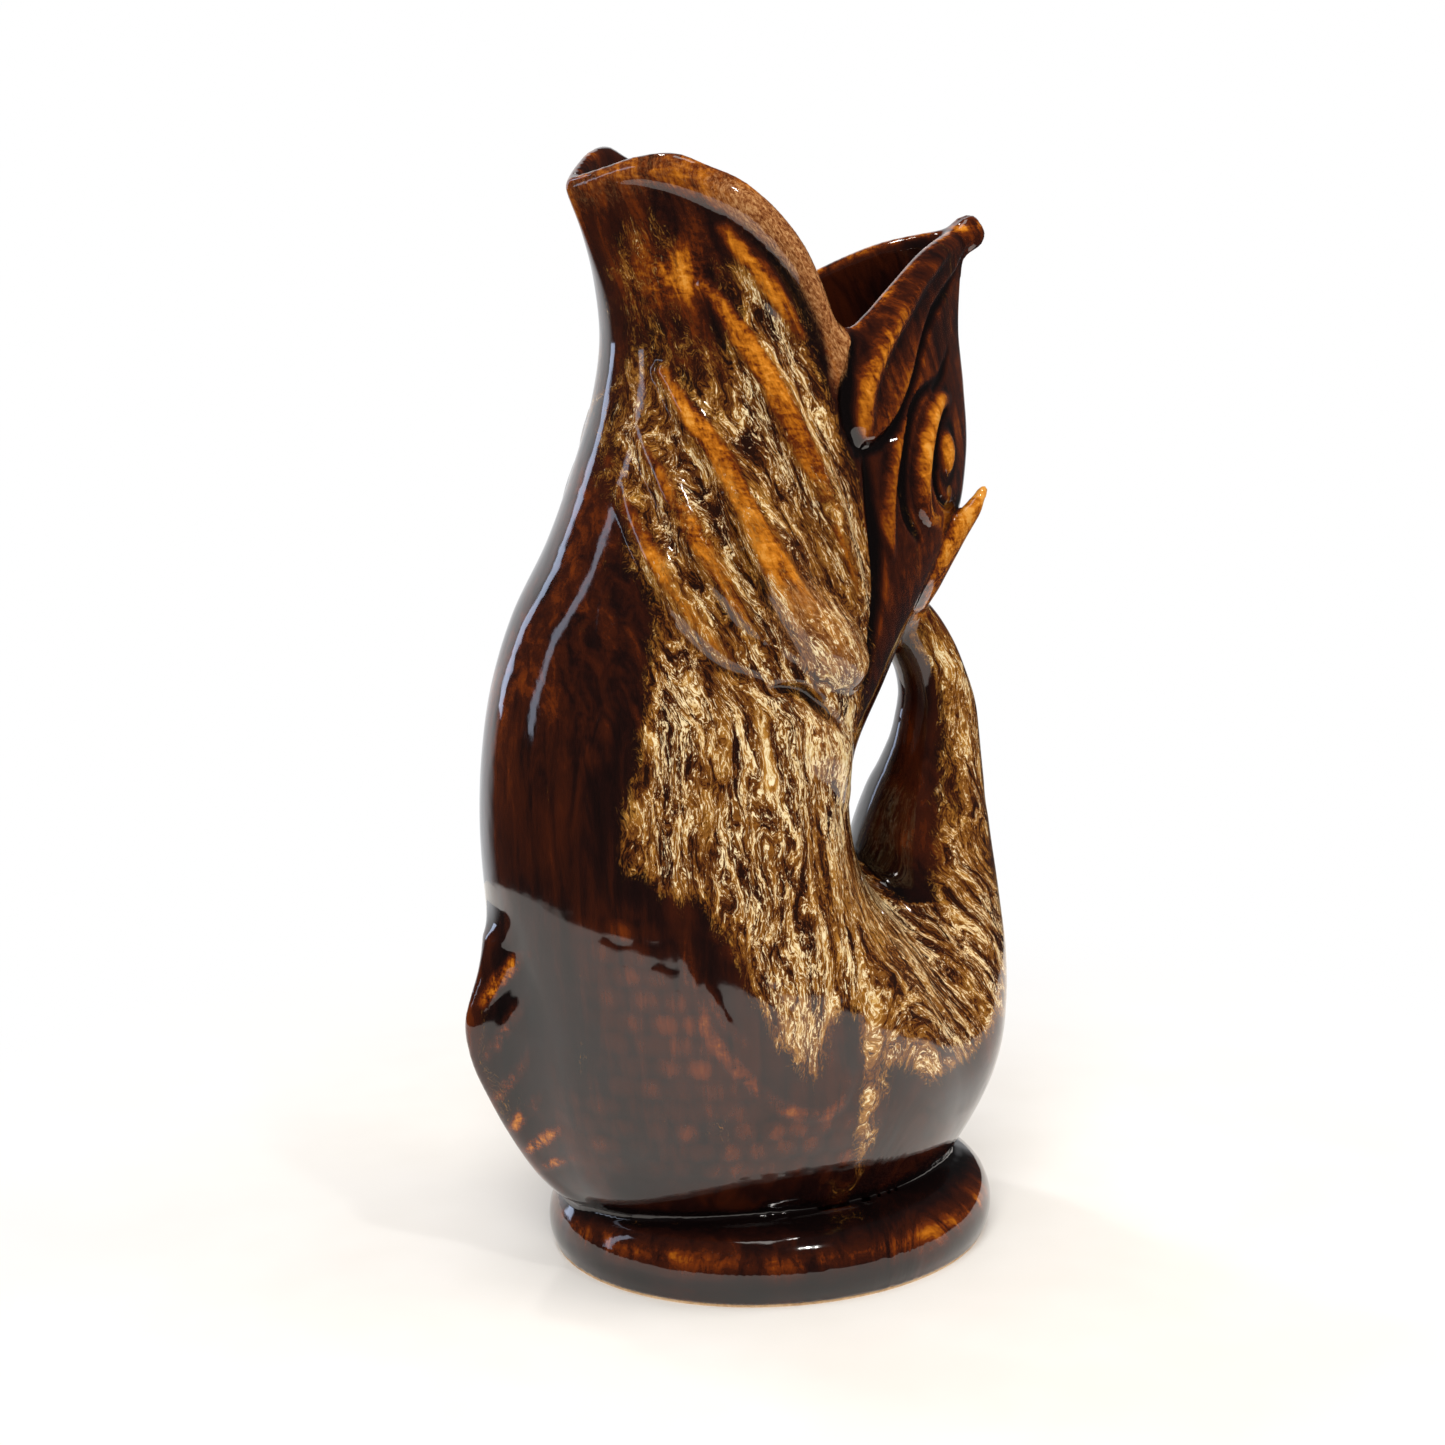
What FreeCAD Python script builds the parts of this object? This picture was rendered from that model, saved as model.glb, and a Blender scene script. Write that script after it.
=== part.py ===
import FreeCAD, Part
import math
import os

os.makedirs("parts", exist_ok=True)
doc = FreeCAD.newDocument("GlugJug")
V = FreeCAD.Vector

# Named sizes in millimetres.
# The jug stands on z = 0, its pouring lip looks along -X and its tail handle stands at +X.
SIZES = (
    ("jug_height", 260.0, "height of the pouring lip above the table"),
    ("wall", 4.5, "thickness of the cast wall"),
    ("cut_overrun", 6.0, "how far cutting shapes run past what they cut"),
    ("foot_half_length", 55.2, "half length of the foot's bead along X"),
    ("foot_half_width", 48.4, "half width of the foot's bead along Y"),
    ("foot_height", 16.8, "height of the glazed foot above the bare rim"),
    ("bare_rim_height", 1.2, "height of the unglazed rim under the foot"),
    ("bare_rim_width", 7.0, "width of the unglazed rim the jug stands on"),
    ("bare_rim_inset", 1.6, "how far the unglazed rim stands back from the bead"),
    ("foot_floor", 5.0, "thickness of the floor inside the foot"),
    ("split_height", 133.0, "height where the belly meets the head"),
    ("lip_roll_radius", 2.8, "radius of the roll along the edge of the pouring lip"),
    ("lip_roll_drop", 3.4, "how far the roll lies below the edge"),
    ("upper_lip_rise", 2.0, "how far the rear lip stands off the head"),
    ("fin_web_rise", 1.2, "how far the web of the pectoral fin stands off the body"),
    ("side_fin_rise", 0.9, "how far the flat lower side fin stands off the body"),
    ("ray_radius", 3.2, "radius of a ray of the pectoral fin"),
    ("ray_inset", 1.0, "how deep the middle of a ray lies under the skin"),
    ("ridge_radius", 2.0, "radius of the narrow ridges"),
    ("ridge_inset", 0.7, "how deep the middle of a ridge lies under the skin"),
    ("pupil_radius", 4.8, "radius of the pupil seen from the front"),
    ("pupil_rise", 2.2, "half thickness of the pupil"),
    ("eye_ring_radius", 2.1, "radius of the bar that runs round the pupil"),
    ("belly_fin_half_thickness", 2.0, "half thickness of the fin along the belly"),
    ("belly_ray_radius", 2.4, "radius of the rays of the belly fin"),
    ("tail_wall", 4.2, "thickness of the hollow tail's wall"),
    ("fluke_half_width", 6.5, "half width of a tail lobe"),
    ("fluke_half_thickness", 2.3, "half thickness of a tail lobe"),
    ("nub_radius", 3.4, "radius of the nub at the tip of the snout"),
)

sheet = doc.addObject("Spreadsheet::Sheet", "Sizes")
for row_number, (alias, value, meaning) in enumerate(SIZES, start=1):
    sheet.set("A%d" % row_number, alias)
    sheet.set("B%d" % row_number, str(value))
    sheet.set("C%d" % row_number, meaning)
    sheet.setAlias("B%d" % row_number, alias)
doc.recompute()


def size(alias):
    return float(getattr(sheet, alias))


HEIGHT = size("jug_height")
WALL = size("wall")
OVERRUN = size("cut_overrun")
FOOT_TOP = size("bare_rim_height") + size("foot_height")

# Level sections of the fish, as shares of the jug's height: level, front, rear, half width,
# place of the widest point, power that points the front, two powers that shape the rear.
BODY_SECTION_SHARES = (
    (0.0600, -0.1980, 0.1660, 0.1260, 0.0000, 0.50, 2.00, 0.50),
    (0.0850, -0.2180, 0.1820, 0.1400, -0.0060, 0.50, 2.00, 0.50),
    (0.1200, -0.2340, 0.2010, 0.1565, -0.0140, 0.50, 2.00, 0.50),
    (0.1650, -0.2450, 0.2080, 0.1735, -0.0230, 0.50, 2.00, 0.50),
    (0.2230, -0.2550, 0.1860, 0.1810, -0.0310, 0.50, 2.00, 0.50),
    (0.2885, -0.2630, 0.1260, 0.1820, -0.0385, 0.50, 2.00, 0.50),
    (0.3540, -0.2715, 0.0680, 0.1775, -0.0460, 0.50, 2.00, 0.50),
    (0.4155, -0.2750, 0.0490, 0.1700, -0.0540, 0.50, 2.00, 0.50),
    (0.4770, -0.2725, 0.0560, 0.1610, -0.0540, 0.50, 2.00, 0.50),
    (0.5385, -0.2630, 0.0950, 0.1520, -0.0500, 0.50, 2.00, 0.52),
    (0.6000, -0.2425, 0.1340, 0.1440, -0.0460, 0.50, 1.90, 0.56),
    (0.6615, -0.2090, 0.1780, 0.1385, -0.0385, 0.50, 1.75, 0.64),
    (0.7230, -0.1845, 0.1920, 0.1325, -0.0270, 0.50, 1.60, 0.72),
    (0.7845, -0.1655, 0.1890, 0.1270, -0.0155, 0.50, 1.55, 0.78),
    (0.8385, -0.1580, 0.1830, 0.1230, -0.0080, 0.50, 1.45, 0.86),
    (0.8845, -0.1640, 0.1850, 0.1220, -0.0040, 0.54, 1.35, 0.94),
    (0.9305, -0.1790, 0.1910, 0.1240, -0.0040, 0.70, 1.30, 0.98),
    (0.9690, -0.1950, 0.1990, 0.1280, -0.0080, 0.88, 1.30, 1.00),
    (1.0300, -0.2120, 0.2120, 0.1330, -0.0120, 1.00, 1.30, 1.00),
)

# The edge of the open mouth seen from the side, from the pouring lip to the snout: x, z.
MOUTH_EDGE_SHARES = (
    (-0.2350, 0.9560),
    (-0.2080, 0.9680),
    (-0.1900, 0.9780),
    (-0.1700, 0.9885),
    (-0.1500, 0.9975),
    (-0.1250, 1.0000),
    (-0.0980, 0.9860),
    (-0.0720, 0.9670),
    (-0.0490, 0.9450),
    (-0.0290, 0.9190),
    (-0.0130, 0.8880),
    (0.0010, 0.8630),
    (0.0200, 0.8545),
    (0.0400, 0.8640),
    (0.0700, 0.8830),
    (0.1150, 0.9080),
    (0.1500, 0.9200),
    (0.1900, 0.9280),
    (0.2300, 0.9310),
)

# Spine of the hollow tail, from inside the belly up to the back of the head:
# x, z, half depth along X and half width along Y.
TAIL_SPINE_SHARES = (
    (0.1380, 0.1250, 0.0560, 0.0800),
    (0.1430, 0.1560, 0.0720, 0.1000),
    (0.1470, 0.2000, 0.0800, 0.1080),
    (0.1500, 0.2550, 0.0790, 0.1040),
    (0.1510, 0.3080, 0.0730, 0.0910),
    (0.1530, 0.3580, 0.0655, 0.0760),
    (0.1570, 0.3950, 0.0580, 0.0640),
    (0.1625, 0.4250, 0.0500, 0.0520),
    (0.1665, 0.4560, 0.0425, 0.0420),
    (0.1670, 0.4870, 0.0376, 0.0360),
    (0.1640, 0.5130, 0.0344, 0.0330),
    (0.1550, 0.5390, 0.0324, 0.0315),
    (0.1390, 0.5640, 0.0310, 0.0305),
    (0.1150, 0.5830, 0.0296, 0.0300),
    (0.0860, 0.5960, 0.0280, 0.0290),
)
TAIL_HOLLOW_FIRST = 1
TAIL_HOLLOW_LAST = 11

# Rays of the pectoral fin on the side of the body: x, z and a share of the ray's radius.
PECTORAL_RAY_SHARES = (
    ((-0.0890, 0.9310, 0.55), (-0.0700, 0.9030, 0.90), (-0.0580, 0.8860, 0.90), (-0.0455, 0.8580, 0.55)),
    ((-0.0965, 0.8810, 0.60), (-0.0790, 0.8480, 1.00), (-0.0570, 0.8060, 1.00), (-0.0365, 0.7520, 0.95),
     (-0.0150, 0.7060, 0.90), (-0.0020, 0.6750, 0.70)),
    ((-0.1280, 0.8100, 0.75), (-0.1130, 0.7760, 1.15), (-0.0980, 0.7470, 1.20), (-0.0830, 0.7060, 1.25),
     (-0.0660, 0.6670, 1.30), (-0.0470, 0.6250, 1.40), (-0.0200, 0.5900, 1.50), (0.0000, 0.5650, 1.20)),
    ((-0.1520, 0.7620, 0.70), (-0.1410, 0.7330, 1.05), (-0.1265, 0.6940, 1.10), (-0.1130, 0.6680, 1.05),
     (-0.1000, 0.6370, 0.80), (-0.0850, 0.6150, 0.60)),
    ((-0.1680, 0.7130, 0.70), (-0.1610, 0.6890, 1.00), (-0.1510, 0.6660, 1.05), (-0.1390, 0.6390, 1.00),
     (-0.1260, 0.6160, 0.75), (-0.1080, 0.5970, 0.60)),
)

# Outline of the pectoral fin's web seen from the side: x, z.
PECTORAL_WEB_SHARES = (
    (-0.0930, 0.9250), (-0.1010, 0.8700), (-0.1300, 0.8030), (-0.1530, 0.7550), (-0.1680, 0.7050),
    (-0.1560, 0.6450), (-0.1300, 0.5900), (-0.0900, 0.5600), (-0.0350, 0.5430), (0.0050, 0.5350),
    (0.0200, 0.5700), (0.0150, 0.6300), (0.0080, 0.7000), (-0.0100, 0.7500), (-0.0320, 0.8200),
    (-0.0500, 0.8800), (-0.0750, 0.9200),
)

# The flat lower side fin: its U-shaped edge, an inner ridge and the web between them: x, z.
SIDE_FIN_EDGE_SHARES = (
    (-0.1545, 0.3520), (-0.1520, 0.3280), (-0.1440, 0.2910), (-0.1320, 0.2580), (-0.1080, 0.2250),
    (-0.0800, 0.1970), (-0.0550, 0.1820), (-0.0250, 0.1800), (-0.0100, 0.2000), (-0.0080, 0.2250),
)
SIDE_FIN_RIDGE_SHARES = (
    (-0.1430, 0.3350), (-0.1380, 0.3080), (-0.1270, 0.2810), (-0.1180, 0.2660), (-0.1050, 0.2540),
)

# Outline of the fleshy rear lip seen from the side: x, z.
UPPER_LIP_SHARES = (
    (0.0060, 0.9000), (0.2300, 0.9600), (0.1900, 0.9200), (0.1460, 0.9000), (0.1180, 0.8780),
    (0.1065, 0.8550), (0.0975, 0.8410), (0.0900, 0.8270), (0.0810, 0.8050), (0.0710, 0.7870),
    (0.0590, 0.7730), (0.0440, 0.7620), (0.0260, 0.7560), (0.0120, 0.7700), (0.0060, 0.8100),
)

GILL_RIDGE_SHARES = (
    (0.0790, 0.7700, 0.60), (0.0640, 0.7480, 0.95), (0.0530, 0.7160, 1.05), (0.0510, 0.6890, 1.00),
    (0.0540, 0.6590, 0.60),
)
EYE_CENTRE_SHARES = (0.1385, 0.7340)
EYE_RING_REACH_SHARE = 0.0400
EYE_RING_START_DEGREES = 60.0
EYE_RING_END_DEGREES = 285.0
EYE_RING_STEPS = 9

# Crest of the belly fin from its knob down to the foot: x, z.
BELLY_FIN_CREST_SHARES = (
    (-0.2750, 0.3150), (-0.2860, 0.2890), (-0.2955, 0.2665), (-0.3010, 0.2450), (-0.3000, 0.2250),
    (-0.2940, 0.2000), (-0.2830, 0.1740), (-0.2680, 0.1450), (-0.2500, 0.1190), (-0.2310, 0.0960),
    (-0.2110, 0.0780),
)
BELLY_FIN_ROOT_SHARES = (-0.1500, 0.0780, 0.3180)

# Rays of the belly fin: start on the side of the body and end at the crest, x, z each.
BELLY_RAY_SHARES = (
    ((-0.2620, 0.3080), (-0.2860, 0.2640)),
    ((-0.2570, 0.2740), (-0.2830, 0.2130)),
    ((-0.2540, 0.2260), (-0.2700, 0.1760)),
    ((-0.2470, 0.1810), (-0.2570, 0.1460)),
    ((-0.2330, 0.1500), (-0.2430, 0.1230)),
    ((-0.2230, 0.1190), (-0.2310, 0.1060)),
)

# A tail lobe lying on the back of the head: x, distance from the middle plane, z,
# then its width and its thickness as shares of the lobe's own.
FLUKE_SHARES = (
    (0.1180, 0.0060, 0.5560, 0.50, 0.90),
    (0.1290, 0.0220, 0.5800, 0.75, 1.05),
    (0.1400, 0.0360, 0.6060, 1.00, 1.10),
    (0.1520, 0.0440, 0.6330, 0.95, 1.05),
    (0.1650, 0.0480, 0.6580, 0.75, 0.95),
    (0.1765, 0.0490, 0.6780, 0.50, 0.85),
    (0.1835, 0.0480, 0.6910, 0.22, 0.60),
)
NUB_CENTRE_SHARES = (0.1900, 0.9220)

# Foot profile from the bare rim to the neck under the belly: share of its height,
# then how far the outline stands back from the bead as a share of the foot's height.
FOOT_PROFILE_SHARES = (
    (0.000, 0.060),
    (0.130, 0.015),
    (0.350, 0.000),
    (0.560, 0.050),
    (0.720, 0.130),
    (0.830, 0.205),
    (0.920, 0.270),
    (1.000, 0.330),
)
# The hollow in the foot: how many walls it stands back, where its side ends as a share of
# the foot's height, and its reach where it opens into the belly as shares of the foot's.
FOOT_SIDE_SHARE = 2.10
FOOT_MIDDLE_SHARE = 0.55
FOOT_NECK_SHARES = (0.848, 0.698)
SAMPLES_PER_QUARTER = 7
ROD_SAMPLES = 12


def body_section(shares, inset):
    """Closed level curve of the fish, drawn in from the skin by the given distance."""
    level, front, rear, half_width, widest, front_root, rear_power, rear_root = shares
    front_x = front * HEIGHT + inset
    # A pointed rear is drawn in further, so the wall keeps its thickness there.
    rear_x = rear * HEIGHT - inset * (0.5 + rear_root)
    side_y = half_width * HEIGHT - inset
    middle_x = widest * HEIGHT
    count = 4 * SAMPLES_PER_QUARTER
    points = []
    for number in range(count):
        angle = 2 * math.pi * number / count
        reach = abs(math.sin(angle))
        side = math.copysign(1, math.cos(angle))
        if number % (2 * SAMPLES_PER_QUARTER) == SAMPLES_PER_QUARTER:
            side = 0
        if math.sin(angle) >= 0:
            x = middle_x + (rear_x - middle_x) * reach
            spread = max(0, 1 - reach ** rear_power) ** rear_root
        else:
            x = middle_x + (front_x - middle_x) * reach
            spread = max(0, 1 - reach * reach) ** front_root
        points.append(V(x, side * side_y * spread, level * HEIGHT))
    return closed_curve(points)


def closed_curve(points):
    """Smooth closed wire through the points, evenly numbered so that sections match."""
    knots = [number / len(points) for number in range(len(points) + 1)]
    curve = Part.BSplineCurve()
    curve.interpolate(Points=points, PeriodicFlag=True, Parameters=knots)
    return Part.Wire([curve.toShape()])


def loft(wires):
    return Part.makeLoft(wires, True, False)


def skin(inset):
    """Solid fish from foot to above the mouth, drawn in by the given distance."""
    return loft([body_section(shares, inset) for shares in BODY_SECTION_SHARES])


def slab(low, high):
    """Block that covers the whole plan between two levels."""
    reach = HEIGHT
    return Part.makeBox(2 * reach, 2 * reach, high - low, V(-reach, -reach, low))


def side_prism(outline_shares, smooth=True):
    """Outline drawn on the side view and pushed out through the -Y side of the body."""
    points = [V(x * HEIGHT, 0, z * HEIGHT) for x, z in outline_shares]
    if smooth:
        wire = closed_curve(points)
    else:
        wire = Part.makePolygon(points + [points[0]])
    return Part.Face(wire).extrude(V(0, -HEIGHT / 2, 0))


def rod(centres, facings, wides, thicks):
    """Tapered bar through the centres, wide across and thick along its facing."""
    wires = []
    last = len(centres) - 1
    for number, centre in enumerate(centres):
        ahead = centres[min(number + 1, last)]
        behind = centres[max(number - 1, 0)]
        along = (ahead - behind).normalize()
        facing = facings[number]
        facing = (facing - along * facing.dot(along)).normalize()
        across = along.cross(facing).normalize()
        points = []
        for step in range(ROD_SAMPLES):
            angle = 2 * math.pi * step / ROD_SAMPLES
            point = centre + across * (wides[number] * math.cos(angle))
            points.append(point + facing * (thicks[number] * math.sin(angle)))
        wires.append(closed_curve(points))
    return loft(wires)


OUTER = skin(0)
INNER = skin(WALL)


def seat(x, z):
    """Point on the -Y side of the skin at this place of the side view."""
    ray = Part.makeLine(V(x, 0, z), V(x, -HEIGHT, z))
    inside = ray.common(OUTER)
    return V(x, inside.BoundBox.YMin, z)


def outward(x, z):
    """Level direction that leaves the skin on the -Y side at this place."""
    step = WALL / 3
    slope = seat(x + step, z) - seat(x - step, z)
    return V(-slope.y, slope.x, 0).normalize() * -1


def bar_on_skin(path_shares, radius, inset):
    """Round bar half sunk into the skin along a path: x, z and a share of the radius."""
    centres = []
    facings = []
    radii = []
    for x, z, thickness in path_shares:
        facing = outward(x * HEIGHT, z * HEIGHT)
        if facing.y > 0:
            facing = facing * -1
        centres.append(seat(x * HEIGHT, z * HEIGHT) - facing * inset)
        facings.append(facing)
        radii.append(radius * thickness)
    return rod(centres, facings, radii, radii)


def with_full_radius(path_shares):
    return [(x, z, 1.0) for x, z in path_shares]


def one_solid(shape):
    """The largest solid of a shape, cleaned of seams left by cutting."""
    solids = sorted(shape.Solids, key=lambda solid: solid.Volume)
    return solids[-1]


def mirrored(shape):
    return shape.mirror(V(0, 0, 0), V(0, 1, 0))


NODES = []


def keep(label, shape):
    """Put a finished shape into the document as its own sub-part."""
    part = doc.addObject("Part::Feature", label)
    part.Label = label
    part.Shape = shape
    part.Placement = FreeCAD.Placement()
    NODES.append(part)
    return part


# The foot: level ovals lofted into one full bead that draws in towards the belly.
def oval(name, level, back):
    """Level oval drawn in from the bead; it turns a quarter if the foot is wider than long."""
    ring = doc.addObject("Part::Ellipse", name)
    ring.setExpression("MajorRadius", "max(Sizes.foot_half_length; Sizes.foot_half_width) - (%s)" % back)
    ring.setExpression("MinorRadius", "min(Sizes.foot_half_length; Sizes.foot_half_width) - (%s)" % back)
    ring.setExpression(".Placement.Base.z", level)
    turn = "Sizes.foot_half_width > Sizes.foot_half_length ? 90 deg : 0 deg"
    ring.setExpression(".Placement.Rotation.Angle", turn)
    return ring


def oval_loft(name, rings):
    solid = doc.addObject("Part::Loft", name)
    solid.Sections = rings
    solid.Solid = True
    solid.Ruled = False
    return solid


foot_rings = []
for number, (level_share, back_share) in enumerate(FOOT_PROFILE_SHARES):
    level = "Sizes.bare_rim_height + Sizes.foot_height * %.4f" % level_share
    back = "Sizes.foot_height * %.4f" % back_share
    foot_rings.append(oval("FootOval%d" % number, level, back))
foot_outside = oval_loft("FootOutside", foot_rings)

def hollow_oval(half_length, half_width, level):
    """Level oval of any proportion, for the hollow in the foot."""
    points = []
    for number in range(4 * SAMPLES_PER_QUARTER):
        angle = 2 * math.pi * number / (4 * SAMPLES_PER_QUARTER)
        points.append(V(half_length * math.cos(angle), half_width * math.sin(angle), level))
    return closed_curve(points)


# The hollow narrows upwards to the opening at the bottom of the belly.
foot_length_inside = size("foot_half_length") - FOOT_SIDE_SHARE * WALL
foot_width_inside = size("foot_half_width") - FOOT_SIDE_SHARE * WALL
neck_length = size("foot_half_length") * FOOT_NECK_SHARES[0] - WALL
neck_width = size("foot_half_width") * FOOT_NECK_SHARES[1] - WALL
floor_level = size("bare_rim_height") + size("foot_floor")
middle_level = size("bare_rim_height") + size("foot_height") * FOOT_MIDDLE_SHARE
foot_hollow = doc.addObject("Part::Feature", "FootHollow")
foot_hollow.Shape = loft([
    hollow_oval(foot_length_inside, foot_width_inside, floor_level),
    hollow_oval(foot_length_inside, foot_width_inside, middle_level),
    hollow_oval(neck_length, neck_width, FOOT_TOP + OVERRUN),
])

foot = doc.addObject("Part::Cut", "foot")
foot.Label = "foot"
foot.Base = foot_outside
foot.Tool = foot_hollow
NODES.append(foot)

# The bare rim: an oval ring of unglazed clay under the foot.
rim_outline = oval("RimOutline", "0", "Sizes.bare_rim_inset")
rim_opening = oval("RimOpening", "-Sizes.cut_overrun", "Sizes.bare_rim_inset + Sizes.bare_rim_width")


def raised(name, base, height):
    column = doc.addObject("Part::Extrusion", name)
    column.Base = base
    column.DirMode = "Normal"
    column.setExpression("LengthFwd", height)
    column.Solid = True
    return column


rim_block = raised("RimBlock", rim_outline, "Sizes.bare_rim_height")
rim_bore = raised("RimBore", rim_opening, "Sizes.bare_rim_height + 2 * Sizes.cut_overrun")
bare_rim = doc.addObject("Part::Cut", "foot_bare_rim")
bare_rim.Label = "foot_bare_rim"
bare_rim.Base = rim_block
bare_rim.Tool = rim_bore
NODES.append(bare_rim)
doc.recompute()

# The hollow tail that serves as the handle.
def tail_rod(first, last, inset):
    centres = []
    facings = []
    wides = []
    thicks = []
    for x, z, depth, width in TAIL_SPINE_SHARES[first:last + 1]:
        centres.append(V(x * HEIGHT, 0, z * HEIGHT))
        facings.append(V(1, 0, 0))
        thicks.append(depth * HEIGHT - inset)
        wides.append(width * HEIGHT - inset)
    return rod(centres, facings, wides, thicks)


tail_outside = tail_rod(0, len(TAIL_SPINE_SHARES) - 1, 0)
tail_hollow = tail_rod(TAIL_HOLLOW_FIRST, TAIL_HOLLOW_LAST, size("tail_wall"))
tail_shape = one_solid(tail_outside.cut(OUTER).cut(tail_hollow))
keep("tail", tail_shape)

# The belly and the head: one hollow fish cut at a level plane and opened at the mouth.
shell = OUTER.cut(INNER)
SPLIT = size("split_height")
belly_shape = one_solid(shell.common(slab(FOOT_TOP, SPLIT)).cut(tail_hollow))
keep("belly", belly_shape)

edge_points = [V(x * HEIGHT, -HEIGHT / 2, z * HEIGHT) for x, z in MOUTH_EDGE_SHARES]
edge_curve = Part.BSplineCurve()
edge_curve.interpolate(Points=edge_points)
sky = HEIGHT + 3 * OVERRUN
corner_rear = V(edge_points[-1].x, edge_points[-1].y, sky)
corner_front = V(edge_points[0].x, edge_points[0].y, sky)
mouth_wire = Part.Wire([
    edge_curve.toShape(),
    Part.makeLine(edge_points[-1], corner_rear),
    Part.makeLine(corner_rear, corner_front),
    Part.makeLine(corner_front, edge_points[0]),
])
mouth_cut = Part.Face(mouth_wire).extrude(V(0, HEIGHT, 0))
head_shape = one_solid(shell.common(slab(SPLIT, HEIGHT + 2 * OVERRUN)).cut(mouth_cut))
keep("head", head_shape)

# The roll along the edge of the pouring lip, from one corner of the mouth to the other.
ROLL_APEX_SHARE = 0.9640
ROLL_SHARES = (
    (-0.0020, 0.8180, 0.55), (0.0010, 0.8420, 0.85), (-0.0070, 0.8690, 1.0), (-0.0200, 0.8960, 1.0),
    (-0.0360, 0.9220, 1.0), (-0.0570, 0.9470, 1.0), (-0.0820, 0.9690, 1.0), (-0.1100, 0.9850, 1.0),
    (-0.1380, 0.9900, 0.95), (-0.1620, 0.9840, 0.90),
)
roll_side = []
for x, z, thickness in ROLL_SHARES:
    place = seat(x * HEIGHT, z * HEIGHT - size("lip_roll_drop") / 3)
    facing = outward(x * HEIGHT, z * HEIGHT - size("lip_roll_drop") / 3)
    if facing.y > 0:
        facing = facing * -1
    roll_side.append((place - facing * (size("lip_roll_radius") / 4), facing, thickness))
apex_z = ROLL_APEX_SHARE * HEIGHT
apex_line = Part.makeLine(V(0, 0, apex_z), V(-HEIGHT, 0, apex_z)).common(OUTER)
apex = V(apex_line.BoundBox.XMin + size("lip_roll_radius") / 4, 0, apex_z)
centres = [item[0] for item in roll_side] + [apex]
centres += [V(item[0].x, -item[0].y, item[0].z) for item in reversed(roll_side)]
facings = [item[1] for item in roll_side] + [V(-1, 0, 0)]
facings += [V(item[1].x, -item[1].y, item[1].z) for item in reversed(roll_side)]
radii = [item[2] * size("lip_roll_radius") for item in roll_side] + [size("lip_roll_radius")]
radii += [item[2] * size("lip_roll_radius") for item in reversed(roll_side)]
roll_rod = rod(centres, facings, radii, radii)
lip_roll = one_solid(roll_rod.cut(OUTER).cut(mouth_cut))
keep("lip_roll", lip_roll)


# Raised patches that follow the skin; each still fills the fish behind it until it is cut free.
def patch(outline_shares, rise, smooth=True):
    return skin(-rise).common(side_prism(outline_shares, smooth))


upper_lip = patch(UPPER_LIP_SHARES, size("upper_lip_rise"), False).cut(OUTER)
nub_centre = V(NUB_CENTRE_SHARES[0] * HEIGHT, 0, NUB_CENTRE_SHARES[1] * HEIGHT)
nub_ball = Part.makeSphere(size("nub_radius"), nub_centre)
upper_lip = one_solid(upper_lip.cut(mouth_cut).cut(roll_rod).cut(nub_ball))
keep("upper_lip_left", upper_lip)
keep("upper_lip_right", mirrored(upper_lip))
keep("snout_nub", one_solid(nub_ball.cut(OUTER).cut(mouth_cut)))

# The pectoral fin: a thin web with five long rays.
pectoral = patch(PECTORAL_WEB_SHARES, size("fin_web_rise"), False)
for ray_shares in PECTORAL_RAY_SHARES:
    pectoral = pectoral.fuse(bar_on_skin(ray_shares, size("ray_radius"), size("ray_inset")))
pectoral = one_solid(pectoral.cut(OUTER).cut(roll_rod))
keep("pectoral_fin_left", pectoral)
keep("pectoral_fin_right", mirrored(pectoral))

# The flat lower side fin: a thin web inside a U-shaped edge.
side_fin = patch(SIDE_FIN_EDGE_SHARES, size("side_fin_rise"), False)
for path in (SIDE_FIN_EDGE_SHARES, SIDE_FIN_RIDGE_SHARES):
    ridge = bar_on_skin(with_full_radius(path), size("ridge_radius"), size("ridge_inset"))
    side_fin = side_fin.fuse(ridge)
side_fin = one_solid(side_fin.cut(OUTER))
keep("side_fin_left", side_fin)
keep("side_fin_right", mirrored(side_fin))

# Gill ridge, pupil and the bar round the pupil.
gill = one_solid(bar_on_skin(GILL_RIDGE_SHARES, size("ridge_radius"), size("ridge_inset")).cut(OUTER))
keep("gill_ridge_left", gill)
keep("gill_ridge_right", mirrored(gill))

eye_x, eye_z = EYE_CENTRE_SHARES
ring_path = []
for number in range(EYE_RING_STEPS):
    share = number / (EYE_RING_STEPS - 1)
    angle = math.radians(EYE_RING_START_DEGREES + (EYE_RING_END_DEGREES - EYE_RING_START_DEGREES) * share)
    ring_x = eye_x + EYE_RING_REACH_SHARE * math.cos(angle)
    ring_z = eye_z + EYE_RING_REACH_SHARE * 1.22 * math.sin(angle)
    fullness = 0.65 + 0.35 * math.sin(math.pi * share)
    ring_path.append((ring_x, ring_z, fullness))
eye_ring = bar_on_skin(ring_path, size("eye_ring_radius"), size("ridge_inset"))
eye_ring = one_solid(eye_ring.cut(OUTER))
keep("eye_ring_left", eye_ring)
keep("eye_ring_right", mirrored(eye_ring))

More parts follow.
